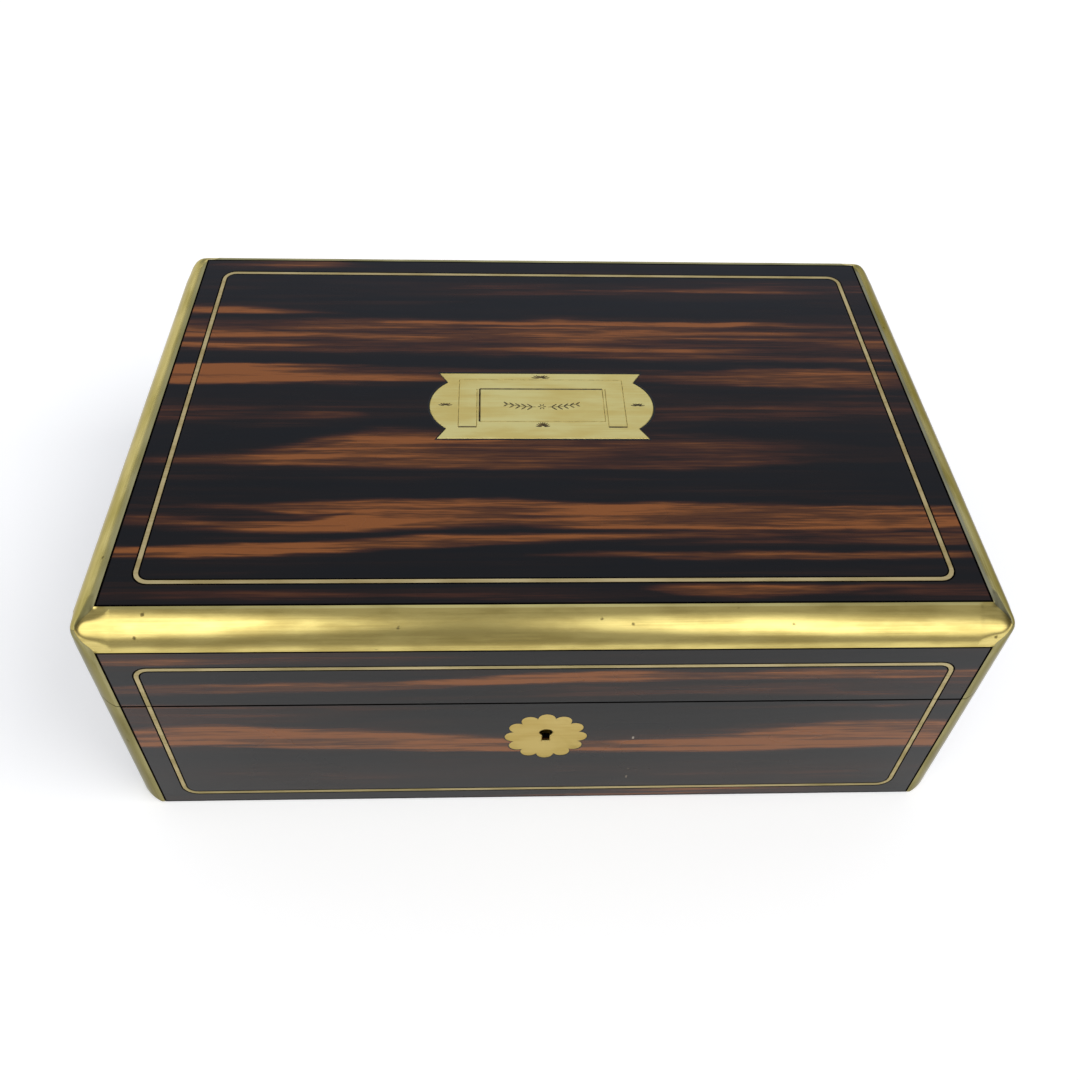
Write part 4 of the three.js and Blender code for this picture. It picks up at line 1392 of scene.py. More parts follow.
@dataclass
class LidPlate:
    """The shaped brass plate in the lid, with engraved strapwork, four sprigs and a laurel branch."""

    thickness: float = 1.0 * MM
    horn: tuple[float, float] = (43.8 * MM, 20.7 * MM)
    notch: tuple[float, float] = (40.0 * MM, 14.5 * MM)
    lobe_tip: float = 47.3 * MM
    lobe_steps: int = 28
    rim_round: float = 0.3 * MM
    grid: float = 4.0 * MM  # the blank's faces, so that none of them holds many cuts
    grid_start: float = 0.37  # of a face, so that no cut runs along the grid
    strap_outside: float = 35.0 * MM
    strap_inside: float = 27.4 * MM
    strap_top: float = 16.4 * MM
    strap_foot: float = -13.6 * MM
    tablet_top: float = 10.3 * MM
    tablet_foot: float = -10.3 * MM
    tablet_half: float = 26.2 * MM
    side_sprig: float = 40.6 * MM
    top_sprig: float = 17.2 * MM
    branch_length: float = 13.0 * MM
    branch_leaves: int = 5
    rose_petals: int = 6
    rose_ring: float = 1.1 * MM
    petal: tuple[float, float] = (1.3 * MM, 0.5 * MM)
    rose_drop: float = 1.0 * MM
    top_fan: tuple[float, float, int] = (4.2 * MM, 1.7 * MM, 9)  # reach, rise and leaves
    foot_fan: tuple[float, float, int] = (3.2 * MM, 3.0 * MM, 9)
    side_fan: tuple[float, float, int] = (3.2 * MM, 1.5 * MM, 7)
    side_drop: float = 0.6 * MM
    branch_root: tuple[float, float] = (2.4 * MM, -1.2 * MM)
    # Its brass is painted paler than the other brass, near white: painted light.
    finish: AgedBrass = AgedBrass(
        "lit_plate_brass", Lay.FLAT, "#fff0a2", "#f6e08c", roughness=(0.5, 0.6), pitted=False, seed=3.0
    )
    mastic_width: float = 0.75 * MM

    def _outline(self) -> BMesh:
        """Draws the plate's outline."""
        bm = bmesh.new()
        notch = Vector((*self.notch, 0))
        gap = self.lobe_tip - notch.x
        hub = Vector(((self.lobe_tip**2 - notch.x**2 - notch.y**2) / (2 * gap), 0, 0))
        first = bmesh.ops.create_vert(bm, co=(notch.x, -notch.y, 0))["vert"]
        last = sweep(bm, first, hub, 2 * math.atan2(notch.y, notch.x - hub.x), self.lobe_steps)[0]
        for end, side in ((first[0], -1), (last, 1)):
            horn = bmesh.ops.create_vert(bm, co=(self.horn[0], side * self.horn[1], 0))["vert"][0]
            middle = bmesh.ops.create_vert(bm, co=(0, side * self.horn[1], 0))["vert"][0]
            bmesh.ops.contextual_create(bm, geom=[end, horn])
            bmesh.ops.contextual_create(bm, geom=[horn, middle])
        half = verts_in(bmesh.ops.duplicate(bm, geom=[*bm.verts, *bm.edges])["geom"])
        bmesh.ops.scale(bm, vec=(-1, 1, 1), verts=half)
        bmesh.ops.remove_doubles(bm, verts=bm.verts, dist=OUTLINE_WELD)
        return bm

    def _blank(self) -> BMesh:
        """Makes the plate's blank, with its face at a height of zero and its rim chamfered."""
        bm = self._outline()
        fill_outline(bm)
        extrude(bm, -self.thickness)
        flatten(bm)
        upper = [e for e in bm.edges if min(v.co.z for v in e.verts) > -self.thickness / 2]
        rim = [e for e in upper if e.calc_face_angle(0.0) > SHARP]
        round_edges(bm, self.rim_round, 1, rim)
        for axis, half in enumerate((self.lobe_tip, self.horn[1])):
            for k in range(math.ceil(2 * half / self.grid)):
                score(bm, axis, (k + self.grid_start) * self.grid - half, 1, FINE)
        return bm

    def _engraving(self) -> BMesh:
        """Cuts the strap, the tablet inside it, the sprigs and the branch."""
        graver = Graver()
        left, right, far = -self.tablet_half, self.tablet_half, self.strap_outside
        lines = [
            ((-far, self.strap_top), (far, self.strap_top), False),
            ((left, self.tablet_top), (right, self.tablet_top), True),
            ((right, self.tablet_foot), (right, self.tablet_top), False),
            ((left, self.tablet_foot), (left, self.tablet_top), True),
            ((left, self.tablet_foot), (right, self.tablet_foot), False),
        ]
        for side in (-1, 1):
            outside, inside = side * self.strap_outside, side * self.strap_inside
            lines += [
                ((outside, self.strap_foot), (outside, self.strap_top), False),
                ((inside, self.strap_foot), (inside, self.tablet_top), False),
                ((outside, self.strap_foot), (inside, self.strap_foot), True),
            ]
        for start, end, bold in lines:
            graver.line(Vector((*start, 0)), Vector((*end, 0)), bold)
        graver.palmette(Vector((0, self.top_sprig, 0)), *self.top_fan)
        graver.palmette(Vector((0, self.strap_foot, 0)), *self.foot_fan)
        for side in (-1, 1):
            graver.palmette(Vector((side * self.side_sprig, -self.side_drop, 0)), *self.side_fan)
            root = Vector((side * self.branch_root[0], self.branch_root[1], 0))
            graver.branch(root, self.branch_length, self.branch_leaves, side)
        for k in range(self.rose_petals):
            angle = 2 * math.pi * k / self.rose_petals
            out = Vector((math.cos(angle), math.sin(angle), 0)) * self.rose_ring
            graver.leaf(out - Vector((0, self.rose_drop, 0)), *self.petal, angle)
        return graver.tool

    def build(self) -> list[Object]:
        """Makes the plate and cuts it."""
        bm = apply_tool(self._blank(), self._engraving(), Cut.TAKE_AWAY)
        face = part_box("lid_plate")[1].z
        move(bm, (0, 0, face))
        # The thin cuts are filled pale: a painted highlight along their walls.
        cuts = [Wax("dark_cut_wax"), Wax("pale_highlight_cut_fill", "#9a8847", "#b9a660")]
        materials = [self.finish.material(), *(wax.material() for wax in cuts)]
        plate = settle(bm, "engraved_plate", "lid", materials, ["lid_plate"])
        ring = self._outline()
        mastic_ring(ring, self.lobe_tip, self.horn[1], self.mastic_width)
        move(ring, (0, 0, face))
        mastic = Wax("plate_mastic", *MASTIC_AND_SHADOW).material()
        return [plate, settle(ring, "plate_bedding", "lid", [mastic])]


@dataclass
class ScrewHead:
    """A countersunk brass screw head with a slot."""

    radius: float = 1.9 * MM
    depth: float = 1.2 * MM
    slot_width: float = 0.5 * MM
    slot_depth: float = 0.45 * MM
    ease: float = 0.08 * MM
    flare: float = 0.6  # of the cone, as a share of its radius over its depth
    segments: int = 24

    def sink(self) -> BMesh:
        """Makes the tool that cuts the seat, for a face at a height of zero that looks up."""
        bm = bmesh.new()
        self._cone(bm, self.ease, self.depth)
        return bm

    def _cone(self, bm: BMesh, ease: float, above: float) -> None:
        """Adds a cone that widens upwards.

        Args:
            bm: the mesh that gets it.
            ease: how much wider it is than the head.
            above: how far it goes on above the face.
        """
        slope = self.radius / self.depth * self.flare
        height = self.depth + above
        bmesh.ops.create_cone(
            bm, segments=self.segments, radius1=self.radius + ease - slope * self.depth,
            radius2=self.radius + ease + slope * above, depth=height, cap_ends=True,
        )
        move(bm, (0, 0, height / 2 - self.depth))

    def head(self, slot_angle: float) -> BMesh:
        """Makes the head, flush with a face at a height of zero that looks up.

        Args:
            slot_angle: how far its slot is turned from X.

        Returns:
            The head.
        """
        bm = bmesh.new()
        self._cone(bm, 0.0, 0.0)
        reach = 2 * self.radius
        half = self.slot_width / 2
        slot = box_between(Vector((-reach, -half, -self.slot_depth)), Vector((reach, half, reach)))
        turn(slot, slot_angle, "Z")
        return apply_tool(bm, slot, Cut.TAKE_AWAY)


@dataclass
class Fixings:
    """Screws in a row along X, let into a plate that faces up or down."""

    places: Sequence[Vector]
    facing: float  # 1 if the plate looks up and -1 if it looks down
    screw: ScrewHead = field(default_factory=ScrewHead)
    first_slot: float = 0.7  # the turn of the first screw's slot, in radians
    slot_step: float = 1.9

    def _put(self, bm: BMesh, place: Vector) -> BMesh:
        """Turns a head or a seat to its plate and moves it to its place.

        Args:
            bm: the head or seat.
            place: its place.

        Returns:
            The same mesh.
        """
        if self.facing < 0:
            turn(bm, math.pi, "X")
        move(bm, place)
        return bm

    def seats(self) -> BMesh:
        """Makes the tool that cuts all the seats."""
        bm = bmesh.new()
        for place in self.places:
            merge_into(bm, self._put(self.screw.sink(), place))
        return bm

    def heads(self) -> BMesh:
        """Makes all the heads, each with its slot turned another way."""
        bm = bmesh.new()
        for k, place in enumerate(self.places):
            merge_into(bm, self._put(self.screw.head(self.first_slot + self.slot_step * k), place))
        return bm


@dataclass
class ButtHinge:
    """A butt hinge: two leaves let in flush, five knuckles and a steel pin."""

    side: str
    knuckles: int = 5
    knuckle_gap: float = 0.3 * MM
    leaf_gauge: float = 1.5 * MM
    barrel_radius: float = 2.7 * MM
    segments: int = 32
    screw_spread: float = 17 * MM
    screw_inset: float = 3.6 * MM  # from the leaf's inner edge
    edge_round: float = 0.2 * MM

    def __post_init__(self) -> None:
        """Takes the pin's line from the plain pin and the leaf's length from the plain leaf."""
        low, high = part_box(f"{self.side}_hinge_pin")
        self.pin_radius = (high.z - low.z) / 2
        self.pin_low, self.pin_high = low.x, high.x
        self.axis = Vector((0, (low.y + high.y) / 2, (low.z + high.z) / 2))
        leaf_low, leaf_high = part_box(f"{self.side}_hinge_base_leaf")
        self.low_x, self.high_x = leaf_low.x, leaf_high.x
        self.inner_y = leaf_low.y

    def _rod(self, low_x: float, high_x: float, radius: float, rounding: float) -> BMesh:
        """Makes a rod on the pin's line with its ends rounded off.

        Args:
            low_x: where it starts.
            high_x: where it ends.
            radius: its radius.
            rounding: how far the rounding reaches.

        Returns:
            The rod.
        """
        bm = bmesh.new()
        bmesh.ops.create_cone(
            bm, segments=self.segments, radius1=radius, radius2=radius, depth=high_x - low_x, cap_ends=True
        )
        round_edges(bm, rounding)
        turn(bm, math.pi / 2, "Y")
        move(bm, self.axis + Vector(((low_x + high_x) / 2, 0, 0)))
        return bm

    def _leaf(self, up: int) -> tuple[BMesh, Fixings]:
        """Makes one leaf with its knuckles and screw seats.

        Args:
            up: 1 for the lid's leaf, whose face looks down, and -1 for the base's.

        Returns:
            The leaf and its screws.
        """
        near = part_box("base_front_veneer")[1].z if up < 0 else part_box("lid_front_veneer")[0].z
        far = near + up * self.leaf_gauge
        low, high = min(near, far), max(near, far)
        outer = self.axis.y - self.barrel_radius - self.knuckle_gap
        bm = box_between(Vector((self.low_x, self.inner_y, low)), Vector((self.high_x, outer, high)))
        pitch = (self.high_x - self.low_x) / self.knuckles
        for k in range(1 if up > 0 else 0, self.knuckles, 2):
            x0 = self.low_x + k * pitch + self.knuckle_gap / 2
            x1 = x0 + pitch - self.knuckle_gap
            tongue = box_between(Vector((x0, self.inner_y + MM, low)), Vector((x1, self.axis.y, high)))
            bm = apply_tool(bm, tongue, Cut.JOIN)
            bm = apply_tool(bm, self._rod(x0, x1, self.barrel_radius, self.edge_round), Cut.JOIN)
        middle = (self.low_x + self.high_x) / 2
        y = self.inner_y + self.screw_inset
        places = [Vector((middle + k * self.screw_spread, y, near)) for k in (-1, 0, 1)]
        fixings = Fixings(places, -up)
        return apply_tool(bm, fixings.seats(), Cut.TAKE_AWAY), fixings

    def build(self) -> list[Object]:
        """Makes the leaves, their screws and the pin."""
        brass = AgedBrass(f"{self.side}_hinge_brass", pitted=False, seed=9.0).material()
        pieces = []
        for body, up in (("base", -1), ("lid", 1)):
            node = f"{self.side}_hinge_{body}_leaf"
            name = f"{self.side}_{body}_leaf"
            bm, fixings = self._leaf(up)
            pieces.append(settle(bm, name, body, [brass], [node]))
            pieces.append(settle(fixings.heads(), f"{name}_screws", body, [brass]))
        pin = self._rod(self.pin_low, self.pin_high, self.pin_radius, 0.5 * self.pin_radius)
        steel = DrawnSteel(f"{self.side}_pin_steel").material()
        node = f"{self.side}_hinge_pin"
        pieces.append(settle(pin, f"{self.side}_pin", "base", [steel], [node]))
        return pieces


@dataclass
class BoxLock:
    """The box lock: its case in the front, the hooked link plate in the lid, and the bolt."""

    screw_inset: float = 4 * MM  # from the plate's ends
    edge_round: float = 0.15 * MM
    screw: ScrewHead = field(default_factory=lambda: ScrewHead(radius=1.6 * MM, depth=0.9 * MM))

    def _fixings(self, node: str, face: float, facing: float) -> Fixings:
        """Places a screw near each end of a plate whose face lies at the given height.

        Args:
            node: the plain plate.
            face: the height of its face.
            facing: 1 if it looks up and -1 if it looks down.

        Returns:
            The screws.
        """
        low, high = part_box(node)
        y = (low.y + high.y) / 2
        ends = (low.x + self.screw_inset, high.x - self.screw_inset)
        return Fixings([Vector((x, y, face)) for x in ends], facing, self.screw)

    def build(self) -> list[Object]:
        """Works the plain solids up into finished pieces."""
        brass = AgedBrass("lock_brass", pitted=False, roughness=(0.28, 0.45), seed=5.0).material()
        pieces = []
        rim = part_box("lock_case")[1].z
        link_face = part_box("lid_front_veneer")[0].z
        for node, name, body, face, facing in (
            ("lock_case", "box_lock_case", "base", rim, 1),
            ("lock_link_plate", "hooked_link_plate", "lid", link_face, -1),
        ):
            fixings = self._fixings(node, face, facing)
            bm = apply_tool(copy_of(node), fixings.seats(), Cut.TAKE_AWAY)
            pieces.append(settle(bm, name, body, [brass], [node]))
            pieces.append(settle(fixings.heads(), f"{name}_screws", body, [brass]))
        bolt = work_up("lock_bolt", "sliding_bolt", "lock_bolt", brass, self.edge_round)
        return [*pieces, bolt]


# Wood

FRONT_FIGURES = (
    Figure(
        ((-170, 46), (-125, 45.5), (-92, 41.5), (-50, 39.6), (0, 38.4), (40, 36.8), (97, 36.8),
         (170, 39)),
        ((-170, 58), (-136, 61), (-100, 57), (-50, 53.5), (0, 51), (40, 52), (97, 57), (170, 57.5)),
        ((-170, 0.62), (-110, 0.66), (-50, 0.62), (0, 0.55), (40, 0.58), (110, 0.68), (170, 0.66)),
        (1.2, 5.0),
    ),
    Figure(
        ((-170, 46.5), (-125, 46.5), (-92, 42.5), (-50, 40.5), (0, 39.4), (40, 38), (97, 38),
         (170, 40.5)),
        ((-170, 56), (-136, 61), (-100, 58), (-50, 54), (0, 49), (40, 49), (80, 54), (110, 58),
         (170, 57.5)),
        ((-170, 0.84), (-138, 1.0), (-110, 0.96), (-40, 1.0), (20, 0.82), (60, 0.92), (140, 1.04),
         (170, 0.94)),
        (1.4, 3.8),
    ),
    Figure(
        ((-170, 80.6), (-110, 82), (-59, 84), (-14, 87), (30, 88.4), (97, 88.8), (170, 89.6)),
        ((-170, 87.4), (-110, 88.6), (-59, 90.4), (-14, 93.6), (30, 95), (97, 95.4), (170, 95.2)),
        ((-170, 0.66), (-110, 0.84), (-59, 0.86), (-14, 0.92), (15, 0.97), (60, 0.9), (120, 0.88),
         (170, 0.8)),
        (2.2, 1.8),
    ),
    Figure(
        ((-170, 100.5), (-110, 101), (-60, 102), (-10, 104)),
        ((-170, 110), (-110, 110), (-60, 109), (-10, 106)),
        ((-170, 0.5), (-110, 0.54), (-60, 0.4), (-20, 0.0)), (1.5, 2.0),
    ),
    Figure(
        ((-170, 60), (-120, 60), (-80, 64), (-40, 70)), ((-170, 75), (-120, 75), (-80, 74), (-40, 73)),
        ((-170, 0.46), (-110, 0.44), (-70, 0.3), (-30, 0.0)), (4.0, 3.0),
    ),
    Figure(
        ((-30, 80), (30, 78), (100, 77), (170, 77)), ((-30, 84), (30, 87), (100, 88), (170, 90)),
        ((-30, 0.0), (30, 0.42), (100, 0.44), (170, 0.42)), (3.0, 3.0),
    ),
    Figure(
        ((40, 69.6), (110, 69.4), (170, 70)), ((40, 71.4), (110, 72), (170, 72.6)),
        ((40, 0.0), (80, 0.5), (170, 0.5)), (1.4, 1.4),
    ),
    Figure(
        ((-40, 2), (60, 1), (110, 1), (150, 2)), ((-40, 4), (60, 7), (110, 7), (150, 4)),
        ((-40, 0.0), (20, 0.45), (80, 0.62), (115, 0.5), (150, 0.0)), (2.0, 2.0),
    ),
    Figure(
        ((-170, 12), (0, 10), (170, 12)), ((-170, 34), (0, 30), (170, 30)),
        ((-170, 0.16), (-80, 0.3), (0, 0.2), (90, 0.28), (170, 0.16)), (6.0, 6.0),
    ),
)
TOP_FIGURES = (
    Figure(
        ((-160, 100), (-110, 98.5), (-80, 100)), ((-160, 104), (-110, 105.5), (-80, 104)),
        ((-160, 0.2), (-135, 0.56), (-108, 0.66), (-88, 0.4), (-70, 0.0)), (2.5, 2.0),
    ),
    Figure(
        ((-170, 78), (-60, 78), (60, 76), (170, 75)), ((-170, 90), (-60, 90), (60, 90), (170, 94)),
        ((-170, 0.16), (-60, 0.22), (60, 0.36), (170, 0.36)), (5.0, 5.0),
    ),
    Figure(
        ((-10, 81), (40, 80.6), (110, 80.6), (150, 80)), ((-10, 82), (40, 82.8), (110, 82.8), (150, 82)),
        ((-10, 0.0), (25, 0.6), (100, 0.58), (150, 0.2)), (1.0, 1.0),
    ),
    Figure(
        ((-170, 62), (-140, 62.4), (-110, 62), (-70, 60)),
        ((-170, 68), (-140, 68.4), (-110, 65.6), (-70, 61)),
        ((-170, 0.52), (-138, 0.8), (-110, 0.62), (-80, 0.25), (-50, 0.0)), (2.8, 2.8),
    ),
    Figure(
        ((-170, 34.5), (-130, 34.2), (-20, 33), (20, 32), (60, 29), (110, 28), (170, 28.6)),
        ((-170, 60), (-60, 59.5), (60, 60), (170, 59)),
        ((-170, 0.6), (-60, 0.58), (10, 0.6), (60, 0.52), (170, 0.48)), (3.0, 3.0),
    ),
    Figure(
        ((-110, 54.6), (-30, 54.6), (60, 54.4), (150, 54)),
        ((-110, 56.4), (-30, 58.6), (60, 58.6), (150, 57.4)),
        ((-120, 0.3), (-60, 0.78), (10, 0.9), (90, 0.88), (130, 0.6), (170, 0.45)), (1.6, 1.6),
    ),
    Figure(
        ((-170, 43), (-140, 43), (-110, 44), (-70, 46)),
        ((-170, 51), (-140, 50.6), (-110, 49.4), (-70, 48.4)),
        ((-170, 0.74), (-132, 0.88), (-100, 0.7), (-60, 0.4)), (2.2, 2.2),
    ),
    Figure(
        ((-170, 36.4), (-140, 36.4), (-110, 37.4), (-70, 39)),
        ((-170, 41), (-140, 40.6), (-110, 40.8), (-70, 40.4)),
        ((-170, 0.86), (-135, 1.0), (-105, 0.76), (-70, 0.3)), (1.8, 1.8),
    ),
    Figure(
        ((-80, 44), (-30, 43), (20, 43), (60, 43), (150, 42)),
        ((-80, 47), (-30, 48.6), (20, 50), (60, 48), (150, 47)),
        ((-80, 0.4), (-40, 0.76), (12, 0.9), (40, 0.66), (90, 0.72), (140, 0.8), (170, 0.6)), (2.4, 2.4),
    ),
    Figure(
        ((-170, 13.4), (-120, 13.4), (-60, 14.4), (0, 16), (60, 13.6), (110, 12.6), (170, 11.5)),
        ((-170, 26.8), (-120, 26.3), (-60, 25.8), (0, 24), (60, 24), (110, 24.6), (170, 24.2)),
        ((-170, 0.9), (-138, 1.06), (-105, 0.86), (-65, 0.56), (40, 0.4), (62, 0.54), (115, 0.68),
         (170, 0.58)),
        (2.0, 1.4),
    ),
    Figure(
        ((-120, -14), (-95, -12), (-70, -10)), ((-120, -6), (-95, -1), (-70, -4)),
        ((-120, 0.0), (-100, 0.36), (-85, 0.42), (-68, 0.0)), (4.0, 4.0),
    ),
    Figure(
        ((-170, -12), (0, -10), (170, -14)), ((-170, 8), (0, 8), (170, 8)),
        ((-170, 0.34), (-60, 0.2), (30, 0.3), (100, 0.36), (170, 0.3)), (6.0, 6.0),
    ),
    Figure(
        ((-170, -36), (-125, -38), (-58, -38.8), (-14, -38.6), (30, -38), (74, -38), (104, -36),
         (140, -34)),
        ((-170, -28), (-125, -29), (-105, -25), (-88, -19), (-64, -13.6), (-14, -18), (74, -19),
         (140, -24)),
        ((-170, 0.3), (-125, 0.46), (-98, 0.7), (-62, 0.76), (-20, 0.62), (30, 0.52), (85, 0.54),
         (115, 0.36), (150, 0.2)),
        (2.4, 3.6),
    ),
    Figure(
        ((-120, -37), (-100, -37), (-80, -35), (-60, -34), (-36, -31)),
        ((-120, -35.5), (-104, -30), (-88, -23), (-66, -18), (-36, -24)),
        ((-120, 0.4), (-98, 0.84), (-72, 0.92), (-50, 0.8), (-30, 0.0)), (3.0, 4.0),
    ),
    Figure(
        ((-170, -69), (-130, -70), (-108, -72), (-60, -71), (-14, -69), (8, -70), (97, -71.5),
         (170, -70)),
        ((-170, -57), (-130, -57), (-108, -56), (-60, -53.6), (-14, -54.4), (8, -56), (97, -57),
         (170, -58)),
        ((-170, 0.5), (-120, 0.6), (-84, 0.9), (-40, 0.96), (0, 0.8), (50, 0.86), (85, 0.8),
         (140, 0.94), (170, 0.9)),
        (2.4, 1.5),
    ),
    Figure(
        ((-92, -69), (-70, -70), (-45, -68), (-20, -64)),
        ((-92, -60), (-70, -56), (-45, -55), (-20, -57)),
        ((-100, 0.3), (-78, 1.0), (-42, 1.06), (-18, 0.7), (0, 0.0)), (2.5, 1.6),
    ),
    Figure(
        ((-165, -63), (-137, -64), (-114, -66), (-92, -65.4), (-70, -60)),
        ((-165, -60), (-137, -58.6), (-114, -59.6), (-92, -62.4), (-70, -60)),
        ((-165, 0.2), (-140, 0.7), (-95, 0.7), (-72, 0.0)), (1.4, 1.4), True,
    ),
    Figure(
        ((-160, -83), (-103, -82.6), (-60, -81), (-20, -78.4), (30, -76), (80, -75)),
        ((-160, -77), (-103, -76.4), (-60, -74.6), (-20, -72.6), (30, -71.6), (80, -71.6)),
        ((-165, 0.4), (-120, 0.84), (-60, 0.9), (-20, 0.74), (40, 0.56), (90, 0.2)), (1.6, 1.6),
    ),
    Figure(
        ((30, -79), (100, -79), (170, -78)), ((30, -74), (100, -72), (170, -72)),
        ((30, 0.1), (90, 0.46), (170, 0.44)), (2.0, 2.0),
    ),
    Figure(
        ((0, -84), (30, -85), (97, -85.4), (170, -85)), ((0, -82), (30, -81.4), (97, -81), (170, -81.4)),
        ((-10, 0.0), (30, 0.66), (97, 0.86), (170, 0.7)), (1.5, 1.5),
    ),
    Figure(
        ((34, -100), (52, -102.5), (80, -102.5), (120, -101), (160, -100)),
        ((34, -97), (52, -95.6), (80, -96.4), (120, -97.6), (160, -98)),
        ((30, 0.0), (52, 0.78), (82, 0.82), (120, 0.6), (165, 0.5)), (2.0, 2.0),
    ),
    Figure(
        ((-170, -104), (0, -104), (170, -104)), ((-170, -97), (0, -98), (170, -97)),
        ((-170, 0.34), (0, 0.3), (170, 0.34)), (3.0, 3.0),
    ),
)
SIDE_FIGURES = (
    Figure(
        ((-120, 46), (-70, 42), (0, 38), (60, 40), (120, 44)),
        ((-120, 56), (-70, 57), (0, 52), (60, 56), (120, 58)),
        ((-120, 0.8), (-70, 0.92), (0, 0.66), (60, 0.86), (120, 0.76)), (1.4, 4.0),
    ),
    Figure(
        ((-120, 84), (-50, 88), (30, 90), (120, 88)), ((-120, 87.5), (-50, 92), (30, 95), (120, 92)),
        ((-120, 0.66), (-50, 0.8), (30, 0.9), (120, 0.6)),
    ),
    Figure(
        ((-120, 16), (-40, 17), (20, 14), (120, 16)), ((-120, 20), (-40, 26), (20, 25), (120, 19)),
        ((-120, 0.3), (-40, 0.56), (20, 0.5), (120, 0.2)), (4.0, 4.0),
    ),
    Figure(
        ((-120, 64), (0, 69), (120, 66)), ((-120, 70), (0, 74), (120, 72)),
        ((-120, 0.4), (0, 0.5), (120, 0.35)), (2.5, 2.5),
    ),
)
BACK_FIGURES = (
    Figure(
        ((-170, 22), (-60, 25), (40, 20), (170, 24)), ((-170, 36), (-60, 34), (40, 36), (170, 38)),
        ((-170, 0.9), (-60, 0.66), (40, 0.86), (170, 0.7)), (1.6, 4.0),
    ),
    Figure(
        ((-170, 60), (-80, 66), (20, 60), (170, 58)), ((-170, 66), (-80, 71), (20, 68), (170, 62)),
        ((-170, 0.7), (-80, 0.8), (20, 0.6), (170, 0.5)),
    ),
    Figure(
        ((-170, 92), (0, 97), (170, 94)), ((-170, 97), (0, 100), (170, 100)),
        ((-170, 0.5), (0, 0.66), (170, 0.6)),
    ),
    Figure(
        ((-170, 46), (0, 48), (170, 44)), ((-170, 50), (0, 53), (170, 48)),
        ((-170, 0.3), (0, 0.48), (170, 0.2)), (3.0, 3.0),
    ),
)


@dataclass
class VeneerCoat:
    """Coromandel veneer on the top and the walls, each wall cut through by the saw with its figure."""

    line_corner: float = 5.0 * MM
    line_half: float = 0.8 * MM  # half the breadth of a brass line
    # the breadth of the black of mastic and painted shadow beside the brass
    mastic: float = 0.75 * MM
    top_gloss: float = 0.18
    seam_shadow_reach: float = 0.65  # of the painted shadow along the saw cut, in millimetres
    nicks: tuple[Mark, ...] = (
        Mark((34.6, 48.6), (0.1, 0.5), 0.0, 0.45, "#a39a8e"),
        Mark((34.8, 17.4), (0.1, 0.7), 0.0, 0.4, "#7d756b"),
        Mark((35.0, 24.0), (0.1, 0.2), 0.0, 0.35, "#6b645b"),
    )

    def _inlay(self, low: tuple[float, float], high: tuple[float, float], is_line: bool) -> Mark:
        """Plans the black mastic and painted shadow along a brass line or round a sheet of veneer.

        Args:
            low: the lowest corner of the rectangle on the face, in metres.
            high: its highest corner.
            is_line: whether it is a line with round corners.

        Returns:
            The mastic.
        """
        inset, corner = (self.line_half, self.line_corner) if is_line else (0.0, 0.0)
        centre = tuple((a + b) / 2 / MM for a, b in zip(low, high, strict=True))
        half = tuple(((b - a) / 2 - inset) / MM for a, b in zip(low, high, strict=True))
        return Mark(centre, half, corner / MM, (inset + self.mastic) / MM)

    def _plans(self) -> dict[str, tuple[Mark, ...]]:
        """Plans the mastic and painted shadow of every face from the plain veneer and lines."""
        plans = {}
        low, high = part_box("lid_top_veneer")
        line_low, line_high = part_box("lid_top_stringing")
        border = self._inlay(low.xy, high.xy, False)
        plans["top"] = (border, self._inlay(line_low.xy, line_high.xy, True))
        for wall, along in (("front", "xz"), ("back", "xz"), ("left", "yz"), ("right", "yz")):
            low = getattr(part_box(f"base_{wall}_veneer")[0], along)
            high = getattr(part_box(f"lid_{wall}_veneer")[1], along)
            plans[wall] = (self._inlay(low, high, False),)
        line_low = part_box("base_front_stringing")[0].xz
        line_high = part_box("lid_front_stringing")[1].xz
        plans["front"] += (self._inlay(line_low, line_high, True), *self.nicks)
        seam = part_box("base_front_veneer")[1].z / MM
        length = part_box("lid_top_veneer")[1].x / MM
        # A near-black line without shine along each wall's saw cut: painted shadow of the gap.
        for wall in plans.keys() - {"top"}:
            plans[wall] += (Mark((0.0, seam), (length, 0.0), 0.0, self.seam_shadow_reach),)
        return plans

    def build(self) -> list[Object]:
        """Dresses the nine sheets."""
        plans = self._plans()
        walls = {
            "front": Coromandel("front_coromandel", Lay.FACING, FRONT_FIGURES, 21.0, plans["front"]),
            "back": Coromandel("back_coromandel", Lay.FACING, BACK_FIGURES, 33.0, plans["back"]),
            "left": Coromandel("left_coromandel", Lay.SIDE, SIDE_FIGURES, 45.0, plans["left"]),
            "right": Coromandel("right_coromandel", Lay.SIDE, SIDE_FIGURES, 58.0, plans["right"]),
        }
        top = Coromandel("top_coromandel", Lay.FLAT, TOP_FIGURES, 4.0, plans["top"], gloss=self.top_gloss)
        pieces = [dress("lid_top_veneer", top.material())]
        for wall, finish in walls.items():
            veneer = finish.material()
            pieces += [dress(f"{body}_{wall}_veneer", veneer) for body in ("base", "lid")]
        return pieces


